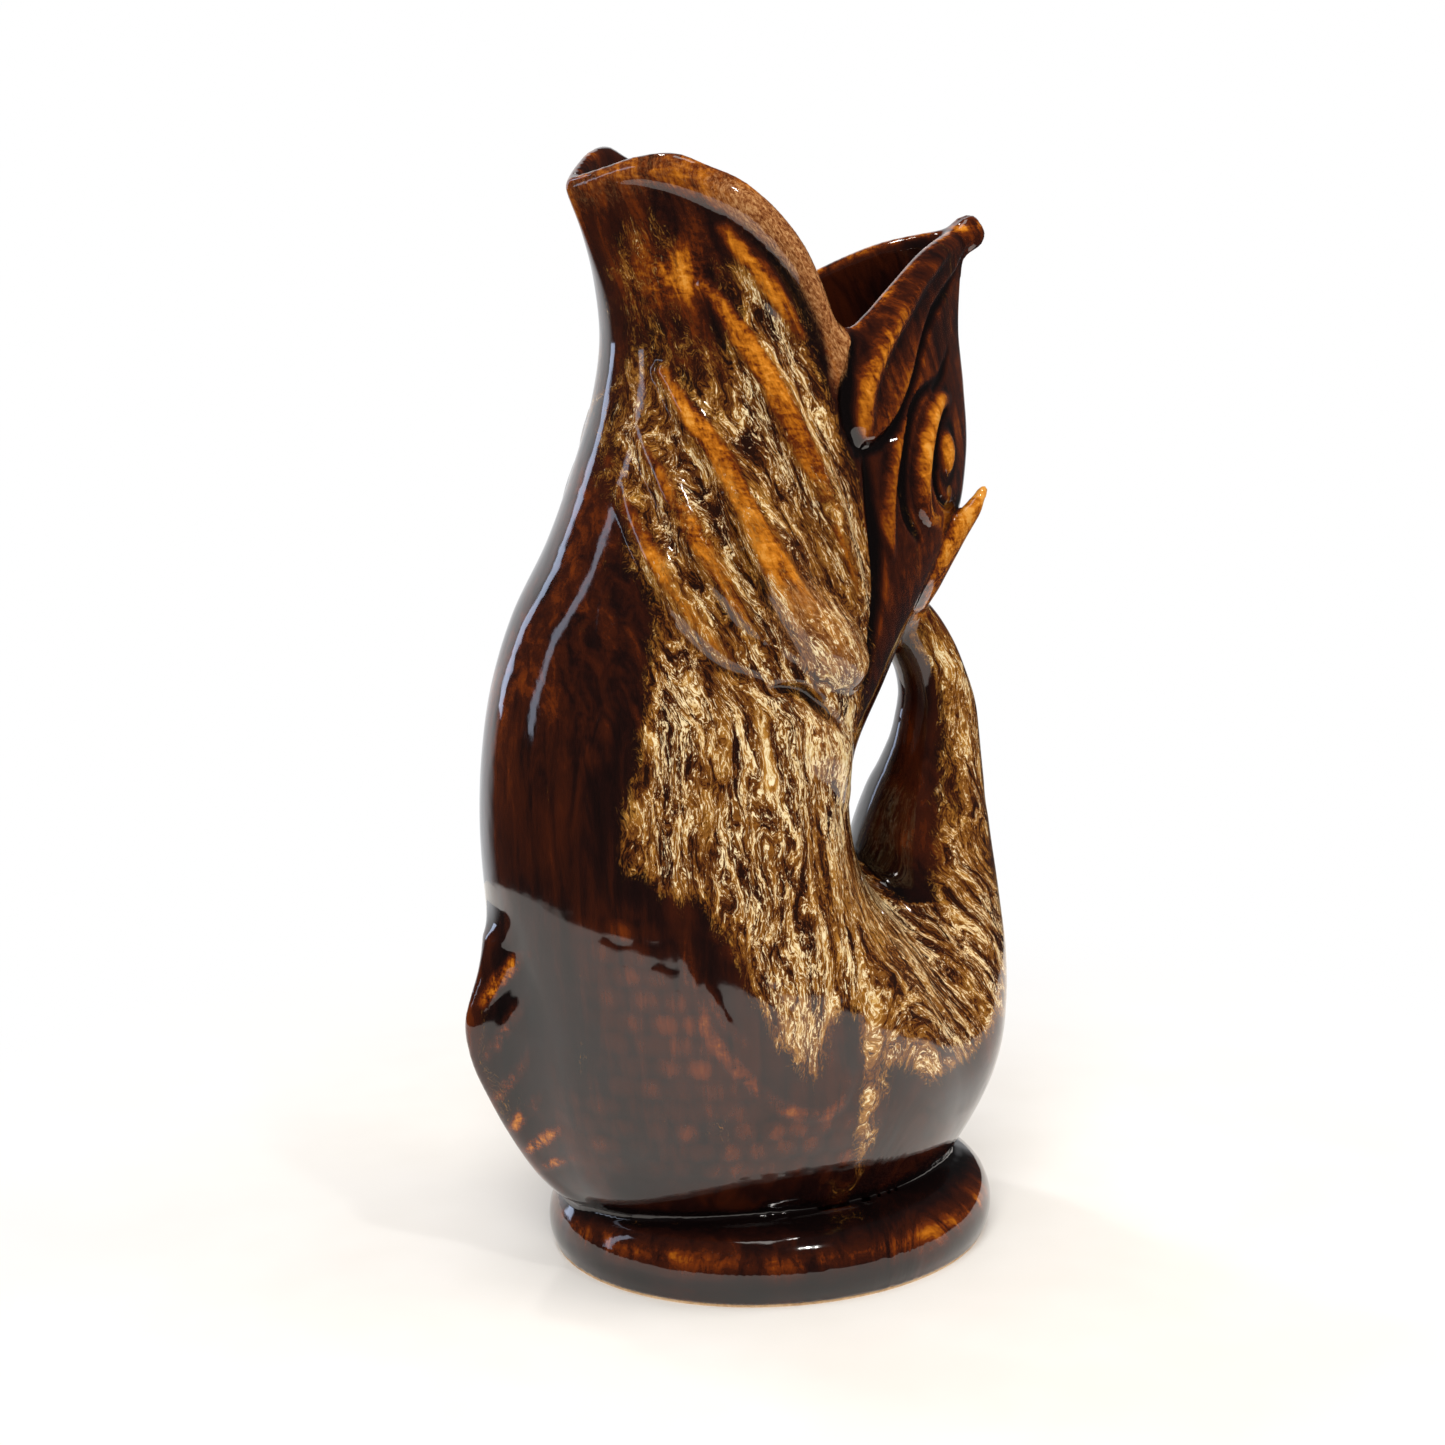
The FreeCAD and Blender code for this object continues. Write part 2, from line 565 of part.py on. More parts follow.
eye_place = seat(eye_x * HEIGHT, eye_z * HEIGHT)
eye_facing = outward(eye_x * HEIGHT, eye_z * HEIGHT)
if eye_facing.y > 0:
    eye_facing = eye_facing * -1
pupil_ball = Part.makeSphere(size("pupil_radius"))
squash = FreeCAD.Matrix()
squash.scale(1, 1, size("pupil_rise") / size("pupil_radius"))
pupil_ball = pupil_ball.transformGeometry(squash)
pupil_ball.Placement = FreeCAD.Placement(eye_place, FreeCAD.Rotation(V(0, 0, 1), eye_facing))
pupil = one_solid(pupil_ball.cut(OUTER))
keep("eye_pupil_left", pupil)
keep("eye_pupil_right", mirrored(pupil))

# The fin along the belly: a thin plate with rays on both sides.
root_x, root_low, root_high = BELLY_FIN_ROOT_SHARES
crest_points = [V(x * HEIGHT, 0, z * HEIGHT) for x, z in BELLY_FIN_CREST_SHARES]
crest = Part.BSplineCurve()
crest.interpolate(Points=crest_points)
root_top = V(root_x * HEIGHT, 0, crest_points[0].z)
root_bottom = V(root_x * HEIGHT, 0, crest_points[-1].z)
plate_wire = Part.Wire([
    crest.toShape(),
    Part.makeLine(crest_points[-1], root_bottom),
    Part.makeLine(root_bottom, root_top),
    Part.makeLine(root_top, crest_points[0]),
])
half_plate = size("belly_fin_half_thickness")
plate = Part.Face(plate_wire).extrude(V(0, 2 * half_plate, 0))
plate.translate(V(0, -half_plate, 0))
belly_fin = plate
for (start_x, start_z), (tip_x, tip_z) in BELLY_RAY_SHARES:
    start = seat(start_x * HEIGHT, start_z * HEIGHT)
    tip = V(tip_x * HEIGHT, -half_plate / 2, tip_z * HEIGHT)
    middle = start * 0.45 + tip * 0.55
    bar = rod([start, middle, tip], [V(0, -1, 0)] * 3,
              [size("belly_ray_radius") * share for share in (0.7, 1.0, 0.75)],
              [size("belly_ray_radius") * share for share in (0.7, 1.0, 0.75)])
    belly_fin = belly_fin.fuse(bar).fuse(mirrored(bar))
belly_fin = one_solid(belly_fin.cut(OUTER).common(slab(FOOT_TOP, HEIGHT)))
keep("belly_fin", belly_fin)

# The two tail lobes on the back of the head.
centres = []
facings = []
wides = []
thicks = []
for x, y, z, wide_share, thick_share in FLUKE_SHARES:
    centres.append(V(x * HEIGHT, -y * HEIGHT, z * HEIGHT))
    facings.append(V(0.70, -0.70, -0.15))
    wides.append(size("fluke_half_width") * wide_share)
    thicks.append(size("fluke_half_thickness") * thick_share)
fluke = rod(centres, facings, wides, thicks).cut(OUTER).cut(tail_outside)
middle_cut = Part.makeBox(HEIGHT, HEIGHT, HEIGHT, V(-HEIGHT / 2, 0, 0))
fluke = one_solid(fluke.cut(middle_cut))
keep("tail_fluke_left", fluke)
keep("tail_fluke_right", mirrored(fluke))

doc.recompute()

faults = []
for item in doc.Objects:
    if "Invalid" in item.State or "Error" in item.State:
        faults.append("%s is in error" % item.Name)
for part in NODES:
    shape = part.Shape
    if shape.isNull() or not shape.isValid() or len(shape.Solids) != 1:
        faults.append("%s: null %s, solids %d" % (part.Label, shape.isNull(), len(shape.Solids)))
if faults:
    raise RuntimeError("; ".join(faults))
for part in NODES:
    part.Shape.exportStep("parts/%s.step" % part.Label)
    print("%-20s volume %9.1f" % (part.Label, part.Shape.Volume))
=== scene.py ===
import math

import bpy
import numpy as np
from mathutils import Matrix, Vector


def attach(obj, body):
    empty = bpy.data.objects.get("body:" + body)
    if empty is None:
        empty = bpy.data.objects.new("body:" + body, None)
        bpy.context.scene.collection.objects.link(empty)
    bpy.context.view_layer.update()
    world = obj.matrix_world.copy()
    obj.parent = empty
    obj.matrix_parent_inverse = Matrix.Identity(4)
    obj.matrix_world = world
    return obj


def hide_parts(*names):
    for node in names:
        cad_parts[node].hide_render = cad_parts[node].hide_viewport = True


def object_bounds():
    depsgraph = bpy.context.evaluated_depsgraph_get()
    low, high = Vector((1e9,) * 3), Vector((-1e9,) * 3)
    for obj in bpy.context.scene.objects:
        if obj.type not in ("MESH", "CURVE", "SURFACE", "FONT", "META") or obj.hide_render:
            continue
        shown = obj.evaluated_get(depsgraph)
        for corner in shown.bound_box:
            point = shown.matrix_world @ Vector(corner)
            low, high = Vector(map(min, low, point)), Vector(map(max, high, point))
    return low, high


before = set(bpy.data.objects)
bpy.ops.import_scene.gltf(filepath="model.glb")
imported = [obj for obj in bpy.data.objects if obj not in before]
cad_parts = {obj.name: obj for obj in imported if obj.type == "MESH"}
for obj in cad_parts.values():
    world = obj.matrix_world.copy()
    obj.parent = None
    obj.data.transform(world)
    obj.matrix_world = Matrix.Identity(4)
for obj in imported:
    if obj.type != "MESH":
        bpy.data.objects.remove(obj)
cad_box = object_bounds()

import openvdb
from mathutils import Vector

MM = 0.001
HEIGHT = 260.0
WALL = 4.5
VOXEL = 0.75

# The near half of the jug's box, in mm.
GRID_X = (-82.0, 63.5)
GRID_Y = (0.0, 52.0)
GRID_Z = (-1.3, 264.5)

# Sizes of the forms that no table gives, in mm.
SPLIT_HEIGHT = 133.0
BODY_FLOOR = 9.0
CAVITY_FLOOR = 14.0
FOOT_CAVITY_RADII = (43.0, 35.0)
FOOT_CAVITY_REACH = 38.0
FOOT_CAVITY_LEVELS = (7.0, 18.0)
REST_LEVEL = 0.55
FIN_INSIDE = -48.0
KEEL_HALF_WIDTH = 1.9
KEEL_TAPER = 0.42
NUB_PLACE = (0.1932 * HEIGHT, 0.9200 * HEIGHT)
NUB_RADIUS = 3.3
FULLER_RIM = 1.3
BOX_MARGIN = 0.02

# Least slopes when a field is turned into distances, for the first round and the second.
BODY_SLOPE = 0.012
TAIL_SLOPE = 0.02
FOOT_SLOPE = 0.01
FLUKE_SLOPE = 0.05
SECOND_SLOPE = 0.6

# How far the mesh is smoothed to tell what stands out of it, in mm.
FINE_REACH = 14
COARSE_REACH = 60

# How wide the joins between the forms are rounded, in mm.
TAIL_JOIN = 9.0
TAIL_JOIN_LOSS = 5.5
TAIL_JOIN_LEVELS = (88.0, 118.0)
KEEL_JOIN = 3.8
FIN_JOIN = 10.0
FOOT_JOIN = 1.6
FOOT_CAVITY_JOIN = 3.0
FLUKE_JOIN = 2.0
NUB_JOIN = 5.0
REST_JOIN = 0.5
WALL_JOIN = 0.6
RIM_JOIN = 2.4

# Body, by level: height, front, rear, half width, widest place, front's root, rear's power and root.
BODY_LEVELS = np.array((
    (0.0600, -0.1980, 0.1660, 0.1260, 0.0000, 0.50, 2.00, 0.50),
    (0.0850, -0.2180, 0.1820, 0.1400, -0.0060, 0.50, 2.00, 0.50),
    (0.1200, -0.2340, 0.2010, 0.1565, -0.0140, 0.50, 2.00, 0.50),
    (0.1650, -0.2450, 0.2080, 0.1735, -0.0230, 0.50, 2.00, 0.50),
    (0.2230, -0.2550, 0.1860, 0.1810, -0.0310, 0.50, 2.00, 0.50),
    (0.2885, -0.2630, 0.1260, 0.1820, -0.0385, 0.50, 2.00, 0.50),
    (0.3540, -0.2715, 0.0680, 0.1775, -0.0460, 0.50, 2.00, 0.50),
    (0.4155, -0.2750, 0.0490, 0.1700, -0.0540, 0.50, 2.00, 0.50),
    (0.4770, -0.2725, 0.0560, 0.1610, -0.0540, 0.50, 2.00, 0.50),
    (0.5385, -0.2630, 0.0950, 0.1520, -0.0500, 0.50, 2.00, 0.52),
    (0.6000, -0.2425, 0.1340, 0.1440, -0.0460, 0.50, 1.90, 0.56),
    (0.6615, -0.2090, 0.1780, 0.1385, -0.0385, 0.50, 1.75, 0.64),
    (0.7230, -0.1845, 0.1920, 0.1325, -0.0270, 0.50, 1.60, 0.72),
    (0.7845, -0.1655, 0.1890, 0.1270, -0.0155, 0.50, 1.55, 0.78),
    (0.8385, -0.1580, 0.1830, 0.1230, -0.0080, 0.50, 1.45, 0.86),
    (0.8845, -0.1640, 0.1850, 0.1220, -0.0040, 0.54, 1.35, 0.94),
    (0.9305, -0.1790, 0.1910, 0.1240, -0.0040, 0.70, 1.30, 0.98),
    (0.9690, -0.1950, 0.1990, 0.1280, -0.0080, 0.88, 1.30, 1.00),
    (1.0300, -0.2120, 0.2120, 0.1330, -0.0120, 1.00, 1.30, 1.00),
))
BODY_LEVELS[:, :5] *= HEIGHT

# The mouth's edge on the side view, and how far the opening reaches beyond it, in mm.
OPEN_AHEAD = 30
OPEN_BEHIND = 20
OPEN_TOP = 300.0
MOUTH_EDGE = HEIGHT * np.array((
    (-0.235, 0.956), (-0.208, 0.968), (-0.190, 0.978), (-0.170, 0.9885), (-0.150, 0.9975),
    (-0.125, 1.000), (-0.098, 0.986), (-0.072, 0.967), (-0.049, 0.945), (-0.029, 0.919),
    (-0.013, 0.888), (0.001, 0.863), (0.020, 0.8545), (0.040, 0.864), (0.070, 0.883),
    (0.115, 0.908), (0.150, 0.920), (0.190, 0.928), (0.230, 0.931),
))

# The tail's middle line: x, z, half depth, half width.
TAIL_SPINE = HEIGHT * np.array((
    (0.115, 0.050, 0.030, 0.055), (0.126, 0.090, 0.040, 0.068),
    (0.134, 0.125, 0.054, 0.082), (0.140, 0.156, 0.068, 0.098), (0.147, 0.200, 0.080, 0.108),
    (0.150, 0.255, 0.079, 0.104), (0.151, 0.308, 0.073, 0.091), (0.153, 0.358, 0.0655, 0.076),
    (0.157, 0.395, 0.058, 0.064), (0.1625, 0.425, 0.050, 0.052), (0.1665, 0.456, 0.0425, 0.042),
    (0.167, 0.487, 0.0376, 0.036), (0.1625, 0.513, 0.0325, 0.033), (0.153, 0.539, 0.030, 0.0315),
    (0.137, 0.564, 0.029, 0.0305), (0.115, 0.583, 0.0296, 0.030), (0.086, 0.596, 0.028, 0.029),
))

# A lobe's middle line: x, y, z, share of the half width, share of the half thickness.
FLUKE = np.array((
    (0.118, 0.006, 0.556, 0.50, 0.90), (0.127, 0.022, 0.582, 0.75, 1.05),
    (0.136, 0.036, 0.609, 1.00, 1.10), (0.1475, 0.0435, 0.6365, 0.95, 1.05),
    (0.1615, 0.047, 0.661, 0.75, 0.95), (0.1745, 0.048, 0.679, 0.50, 0.85),
    (0.182, 0.0475, 0.690, 0.22, 0.60),
))
FLUKE[:, :3] *= HEIGHT
FLUKE_HALF_WIDTH = 6.5
FLUKE_HALF_THICKNESS = 2.3
FLUKE_END_RADIUS = 3.0
FLUKE_FACING = (0.70, -0.70, -0.15)
# The lobes lie behind this x, between these two heights.
FLUKE_BOX = (20.0, 134.0, 192.0)
FLUKE_FAR = 30.0

# The belly fin's crest on the side view, and its rays: x, z, half width, height.
BELLY_FIN_CREST = HEIGHT * np.array((
    (-0.275, 0.315), (-0.286, 0.289), (-0.2955, 0.2665), (-0.301, 0.245), (-0.300, 0.225),
    (-0.294, 0.200), (-0.283, 0.174), (-0.268, 0.145), (-0.250, 0.119), (-0.231, 0.096),
    (-0.211, 0.078),
))
BELLY_RAYS = (
    ((-67.4, 82.5, 1.2, 0.3), (-69.6, 77.5, 1.9, 0.9), (-72.2, 72.5, 2, 1), (-74.6, 68, 1.5, 0.5)),
    ((-66.2, 73, 1.2, 0.2), (-69, 66.5, 1.8, 0.5), (-71.8, 60, 2, 0.6), (-73.8, 55, 1.5, 0.3)),
    ((-65.6, 60, 1, 0.1), (-67.4, 54.5, 1.5, 0.4), (-69.6, 49, 2.1, 0.8), (-70.8, 45, 1.6, 0.5)),
    ((-63.8, 48.5, 1, 0.1), (-65.4, 43.5, 1.8, 0.6), (-67, 38.5, 1.9, 0.8), (-67.8, 36, 1.2, 0.3)),
    ((-60.4, 40, 1, 0.1), (-62, 36, 1.8, 0.7), (-63.6, 32.5, 1.8, 0.8), (-64.4, 30.5, 1.2, 0.3)),
    ((-57.6, 32, 1, 0.1), (-59.2, 29.5, 1.6, 0.6), (-60.4, 27.4, 1.6, 0.6), (-61, 26, 1, 0.2)),
)

# The foot's oval, and how far its outline stands back by height.
FOOT_HALF_LENGTH = 55.2
FOOT_HALF_WIDTH = 48.4
FOOT_BASE = 1.2
FOOT_HEIGHT = 16.8
FOOT_PROFILE = np.array((
    (0.000, 0.060), (0.130, 0.015), (0.350, 0.000), (0.560, 0.050), (0.720, 0.140), (0.840, 0.270),
    (0.930, 0.430), (1.000, 0.600),
)) * FOOT_HEIGHT

# Relief strokes drawn on the side view: x, z, half width, height, in mm. Outlines: x, z.
PECTORAL_RAYS = (
    ((-24.5, 244, 2.4, 0.8), (-18.2, 236, 4, 2), (-14, 229.5, 4.2, 2.2), (-9, 221, 3, 1)),
    ((-27.5, 232, 2.6, 1), (-21.5, 222.5, 4.6, 2.5), (-15.6, 211.6, 5.2, 3), (-9.8, 197.5, 5.4, 3.1),
     (-3.9, 184.6, 5, 2.8), (1, 172, 4.4, 2), (5, 161, 3.2, 0.8)),
    ((-35, 213, 2.8, 1), (-30.4, 203.8, 4.8, 2.8), (-26, 194.2, 5.4, 3.2), (-21.8, 183.6, 6, 3.5),
     (-17.2, 173.4, 6.6, 3.8), (-12.2, 162.5, 8, 4.4), (-4.6, 153.6, 9.2, 4.8), (1.5, 148.5, 7, 3.4)),
    ((-40.6, 200, 2.6, 0.3), (-37, 191, 4.2, 1.9), (-33.1, 180.4, 5, 3.1), (-29.2, 171.7, 4.8, 3),
     (-25, 162.6, 3.8, 2), (-21, 155.9, 2.6, 0.8)),
    ((-44.5, 188, 2.4, 0.2), (-42.3, 179.6, 4, 1.4), (-39.5, 172.2, 4.8, 2.5), (-36, 164.6, 4.6, 2.6),
     (-32, 157.2, 3.6, 1.8), (-27, 151.2, 2.4, 0.7)),
)
PECTORAL_WEB = HEIGHT * np.array((
    (-0.093, 0.925), (-0.101, 0.870), (-0.130, 0.803), (-0.153, 0.755), (-0.168, 0.705),
    (-0.156, 0.645), (-0.130, 0.590), (-0.090, 0.560), (-0.035, 0.543), (0.005, 0.535),
    (0.020, 0.570), (0.015, 0.630), (0.008, 0.700), (-0.010, 0.750), (-0.032, 0.820),
    (-0.050, 0.880), (-0.075, 0.920),
))
FIN_BASE = (
    ((-15, 139, 6, 0.8), (-8, 133, 8.5, 2), (-1, 127, 8, 1.8), (3, 118, 6, 0.8)),
)
FIN_CREASES = (
    ((-20.5, 144.6, 1.6, 0.5), (-16, 144.6, 2.2, 1.3), (-11, 143.4, 2.4, 1.9), (-6.5, 139.4, 2.4, 2),
     (-2, 135, 2, 1.2), (2, 131, 1.5, 0.4)),
    ((-38, 158, 1.6, 0.4), (-30, 150.5, 2.2, 0.9), (-22, 147, 2, 0.7), (-19, 145, 1.5, 0.4)),
    ((7.5, 196, 1.6, 0.4), (9, 185, 2.4, 1.5), (10.3, 174, 2.6, 2), (11, 163, 2.6, 2),
     (9.5, 153, 2.4, 1.6), (7, 144, 2, 0.8)),
    ((-26.5, 187, 1.4, 0.4), (-24, 176, 2, 1.1), (-19.5, 165.5, 2.2, 1.4), (-13.5, 155, 2, 1),
     (-9, 148, 1.6, 0.4)),
    ((-30, 171, 1.3, 0.3), (-27.8, 162, 1.6, 0.5), (-21, 155, 1.6, 0.6), (-14, 150, 1.3, 0.3)),
)
BODY_SWELLS = (
    ((-52.3, 143.5, 2, 0.3), (-53, 138, 3.2, 0.9), (-53.3, 131, 2.2, 0.3)),
    ((-47.8, 141.5, 1.8, 0.3), (-46, 136.5, 2.8, 0.9), (-44, 131, 2, 0.3)),
    ((-56.8, 132.5, 2.2, 0.3), (-56.5, 129.8, 3.4, 0.8), (-56.2, 127, 2.2, 0.3)),
    ((-50, 165, 2.5, 0.2), (-51.5, 156, 4, 0.6), (-53, 147, 3, 0.2)),
)
LIP_ROLL = (
    ((-0.5, 209, 2.2, 0.3), (0.3, 214.5, 3.2, 1.5), (-0.4, 221, 3.8, 2), (-3.2, 228.5, 4.2, 2.1),
     (-7.2, 235.8, 4.4, 2.1), (-12.6, 242.6, 4.6, 2.1), (-18.8, 248.2, 4.6, 2), (-26.5, 252.8, 4.6, 1.8),
     (-34, 256, 4.6, 1.4), (-42, 257.4, 4.4, 1.1), (-50, 256, 4, 0.8)),
)
LEAF_CREST = (
    ((48, 241, 2.2, 0.6), (38, 237.5, 2.6, 1), (28, 231.5, 3, 1.3), (21, 226, 3.6, 1.7),
     (14.7, 220.9, 4.2, 2.1), (9.4, 214.7, 4.6, 2.3), (6.6, 208, 4.4, 2), (6.5, 202, 3.6, 1)),
)
UPPER_LIP = np.array((
    (1.6, 232), (60, 250), (49.4, 239.2), (42.5, 231.5), (36.5, 228), (31, 224), (27.7, 219.5),
    (25.4, 215.5), (23, 210.5), (20.5, 206.5), (17.5, 202.5), (14, 199.5), (10, 197.4), (6, 197),
    (3.2, 200), (1.8, 206), (1.2, 214),
))
LEAF_GROOVE = (
    ((44.5, 231, 1.2, 0.3), (38.5, 226.5, 1.8, 1), (32.5, 222, 2.2, 1.5), (28.2, 216.5, 2.4, 1.7),
     (25.2, 210.5, 2.4, 1.6), (21.5, 204.5, 2.2, 1.4), (17, 199.5, 2, 1.2), (11.5, 195.6, 1.8, 1),
     (5.5, 194.6, 1.6, 0.6)),
    ((4.8, 222, 1.4, 0.3), (2.6, 216, 2, 1.5), (2.2, 209, 2.2, 1.7), (2.9, 202, 2, 1.2),
     (5.5, 195.5, 1.6, 0.6)),
)
PUPIL = (36.4, 190.9)
PUPIL_RADII = (3.6, 4.0, 5.2)
PUPIL_HEIGHT = 1.6
EYE_RING = (
    ((38.5, 203, 1.6, 0.4), (34, 202.8, 2.6, 1.4), (29.8, 199.2, 3.3, 2), (26.8, 193, 3.8, 2.3),
     (25.6, 186.4, 3.8, 2.3), (26.4, 180.6, 3.2, 1.8), (29, 177, 2.2, 1), (32.5, 175.6, 1.4, 0.4)),
)
EYE_GROOVES = (
    ((33, 208, 1.2, 0.4), (25.6, 204.6, 1.8, 1.2), (21.2, 196.5, 2, 1.5), (19.4, 187.2, 2, 1.5),
     (20.6, 179, 1.9, 1.3), (24.6, 173, 1.5, 0.5)),
    ((37, 200.6, 1.1, 0.5), (33.4, 198, 1.5, 1.1), (31.6, 192.4, 1.7, 1.4), (31.5, 186, 1.7, 1.4),
     (33.2, 181.2, 1.5, 1), (37, 178.6, 1.2, 0.6), (40.6, 179.6, 1, 0.3)),
    ((40, 214, 1, 0.2), (36.5, 209.5, 1.6, 0.8), (32, 206, 1.4, 0.6)),
)
GILL_RIDGE = (
    ((20.4, 200.5, 1.6, 0.4), (17.2, 194.5, 2.4, 1.4), (14.8, 186.1, 2.7, 1.7), (14.3, 178.6, 2.6, 1.5),
     (15.2, 171, 1.8, 0.5)),
)
SIDE_FIN_EDGE = (
    ((-40.8, 92, 1.6, 0.3), (-39.7, 85.9, 2.2, 1), (-37.4, 75.8, 2.3, 1.2), (-34.4, 67.2, 2.3, 1.2),
     (-28.1, 58.5, 2.3, 1.2), (-20.9, 51.2, 2.3, 1.2), (-14.3, 47.2, 2.3, 1.2), (-6.4, 46.6, 2.2, 1.1),
     (-2.4, 52, 2, 0.9), (-2, 58, 1.6, 0.3)),
    ((-37.2, 87, 1.4, 0.2), (-36, 80.1, 1.8, 0.8), (-33, 73.1, 1.9, 0.9), (-30.6, 69.3, 1.8, 0.8),
     (-27, 65.6, 1.4, 0.3)),
)
SIDE_FIN_WEB = HEIGHT * np.array((
    (-0.156, 0.355), (-0.153, 0.328), (-0.144, 0.291), (-0.132, 0.258), (-0.108, 0.225),
    (-0.080, 0.197), (-0.055, 0.182), (-0.025, 0.180), (-0.010, 0.200), (-0.008, 0.225),
))
# Where the run of cream glaze lies on the side view.
CREAM_AREA = np.array((
    (-46, 100.5), (-52, 104), (-54.2, 110.4), (-52.2, 121.6), (-49.5, 130.4), (-47, 143.4),
    (-45, 154.1), (-44.5, 162.6), (-45.5, 169), (-47, 176), (-47.5, 185), (-46.5, 193),
    (-45, 201.6), (-44, 210), (-45, 219), (-46.5, 227), (-48.5, 234), (-50, 241),
    (-45.6, 246.4), (-38.9, 248.1), (-31.7, 246.1), (-25.8, 241.8), (-17.5, 236.4), (-10.8, 227.7),
    (-5.2, 218.5), (-0.5, 207), (3.5, 197.8), (7.5, 188.6), (9.3, 179.5), (11.6, 170.2), (12.3, 161),
    (10, 154.6), (10, 147.8), (9, 139.4), (9.6, 131), (12, 128), (17, 119), (26, 110),
    (40, 103), (66, 98), (66, 52), (50, 52), (38, 47.5), (29.3, 45.5), (22.1, 45.3),
    (15.3, 51.1), (10.5, 53), (9.6, 46), (8.4, 36), (4.4, 27), (-0.2, 37), (-1.2, 50),
    (-1.6, 62), (-3, 71), (-6, 66), (-9, 57), (-12, 53), (-17, 59), (-23, 67),
    (-29, 79), (-33, 90), (-37, 98),
))

# Scales: lengths of a cell, its sideways shift in every second row, radius of a bump, lowest row.
SCALE_LENGTH = 6.2
SCALE_RISE = 5.4
SCALE_SHIFT = 2.7
SCALE_RADIUS = 3.6
SCALE_START = 30.0

# Shares of the forms' heights that stand out in the relief.
FIN_RAY_SHARE = 0.25
RAY_SHARE = 1.15
RAY_ON_WEB_SHARE = 0.25
LEAF_SHARE = 1.5
SIDE_FIN_SHARE = 0.22
SIDE_WEB_SHARE = 0.15
SCALE_SHARE = 0.10

# Heights and a reach, in mm, that part the foot, the belly fin and the tail's root from the rest.
FOOT_TOP = 20.0
FOOT_INSIDE_TOP = 16.0
BELLY_FIN_BOTTOM = 18.0
TAIL_ROOT_TOP = 84.0
FOOT_REACH = 0.35

# Colours, 0 to 255, at places of a ramp.
TREACLE = (
    (0.00, (10, 5, 5)), (0.16, (28, 10, 7)), (0.32, (56, 21, 8)), (0.46, (100, 42, 9)),
    (0.60, (156, 86, 14)), (0.76, (200, 122, 30)), (1.00, (228, 166, 78)),
)
GOLD = ((0.37, (30, 12, 6)), (0.46, (74, 36, 12)), (0.56, (126, 78, 26)), (0.70, (180, 128, 54)))
TAN = ((0.36, (92, 44, 20)), (0.50, (146, 92, 50)), (0.64, (190, 142, 92)))
CREAM = ((0.40, (204, 164, 96)), (0.62, (241, 226, 186)))
BARE_CLAY = ((0.30, (168, 128, 92)), (0.50, (206, 172, 132)), (0.72, (228, 204, 172)))
FLOOR = ((0.3, (240, 236, 230)), (0.7, (247, 244, 240)))

# Noise in the glaze: stretch of the flow, scale, detail, roughness, distortion.
STREAK = ((1, 1, 0.16), 0.26, 3.0, 0.60, 0.6)
CLOUD = ((1, 1, 0.35), 0.055, 2.0, 0.50, 0.0)
GRAIN = ((1, 1, 0.60), 1.5, 3.0, 0.65, 0.4)
RINGS = ((0.45, 0.45, 1.0), 0.55, 3.0, 0.60, 0.9)
WAVE = ((1, 1, 0.60), 0.09, 2.0, 0.50, 0.0)
THREADS = ((1, 1, 0.14), 1.5, 3.0, 0.50, 0.4)
FLECKS = ((1, 1, 0.24), 2.3, 4.0, 0.70, 0.6)
TONE = ((1, 1, 0.14), 0.42, 3.0, 0.60, 0.4)
PATCHES = ((1, 1, 0.22), 0.11, 2.0, 0.60, 0.4)
# Noise that bends the threads: stretch, scale, detail, and how far it bends them.
BENDS = (
    ((1, 1, 0.45), 0.11, 2.0, (10.0, 10.0, 8.0)),
    ((1, 1, 0.40), 0.55, 2.0, (1.8, 1.8, 2.0)),
)
# The middle of a noise's range.
MIDDLE = 0.5

# Floor and room, in m.
FLOOR_RADIUS = 0.30
FLOOR_CORNERS = 96
FLOOR_FADE = (0.075, 0.26)
BACKDROP_WAY = (0.10, 0.985, 0.05)
# Lamps: name, place, target, width, height, power, colour, and whether gloss shows them.
LAMPS = (
    ("key_soft", (-0.9, -1.3, 1.5), (0, 0, 0.12), 1.0, 1.0, 26.0, (1.0, 0.97, 0.93), False),
    ("fill_soft", (1.5, -0.6, 0.9), (0, 0, 0.14), 0.9, 0.9, 12.0, (1.0, 0.95, 0.90), False),
    ("window_back_left", (-0.85, 1.25, 0.65), (0, 0, 0.16), 0.22, 1.3, 3.2, (0.62, 0.74, 1.0), True),
    ("window_left", (-1.55, 0.35, 0.70), (0, 0, 0.16), 0.16, 1.2, 1.6, (0.70, 0.80, 1.0), True),
    ("ceiling", (-0.1, -0.1, 1.8), (0, 0, 0.10), 0.7, 0.5, 3.6, (1.0, 0.95, 0.90), True),
    ("spot_top", (0.20, -0.85, 1.30), (0, 0, 0.2), 0.07, 0.07, 2.4, (1.0, 0.97, 0.93), True),
    ("spot_back", (-0.25, 0.55, 1.40), (0, 0, 0.2), 0.09, 0.09, 2.0, (1.0, 0.97, 0.93), True),
)

# The photo's camera: focal length and picture width in pixels, place, and the way it looks.
FOCAL_PIXELS = 2834.4
PHOTO_PIXELS = 1445.0
SENSOR_WIDTH = 36.0
CAMERA_PLACE = (-0.27470, -0.58910, 0.28500)
CAMERA_WAY = (0.39436801, 0.88802203, -0.23641225)


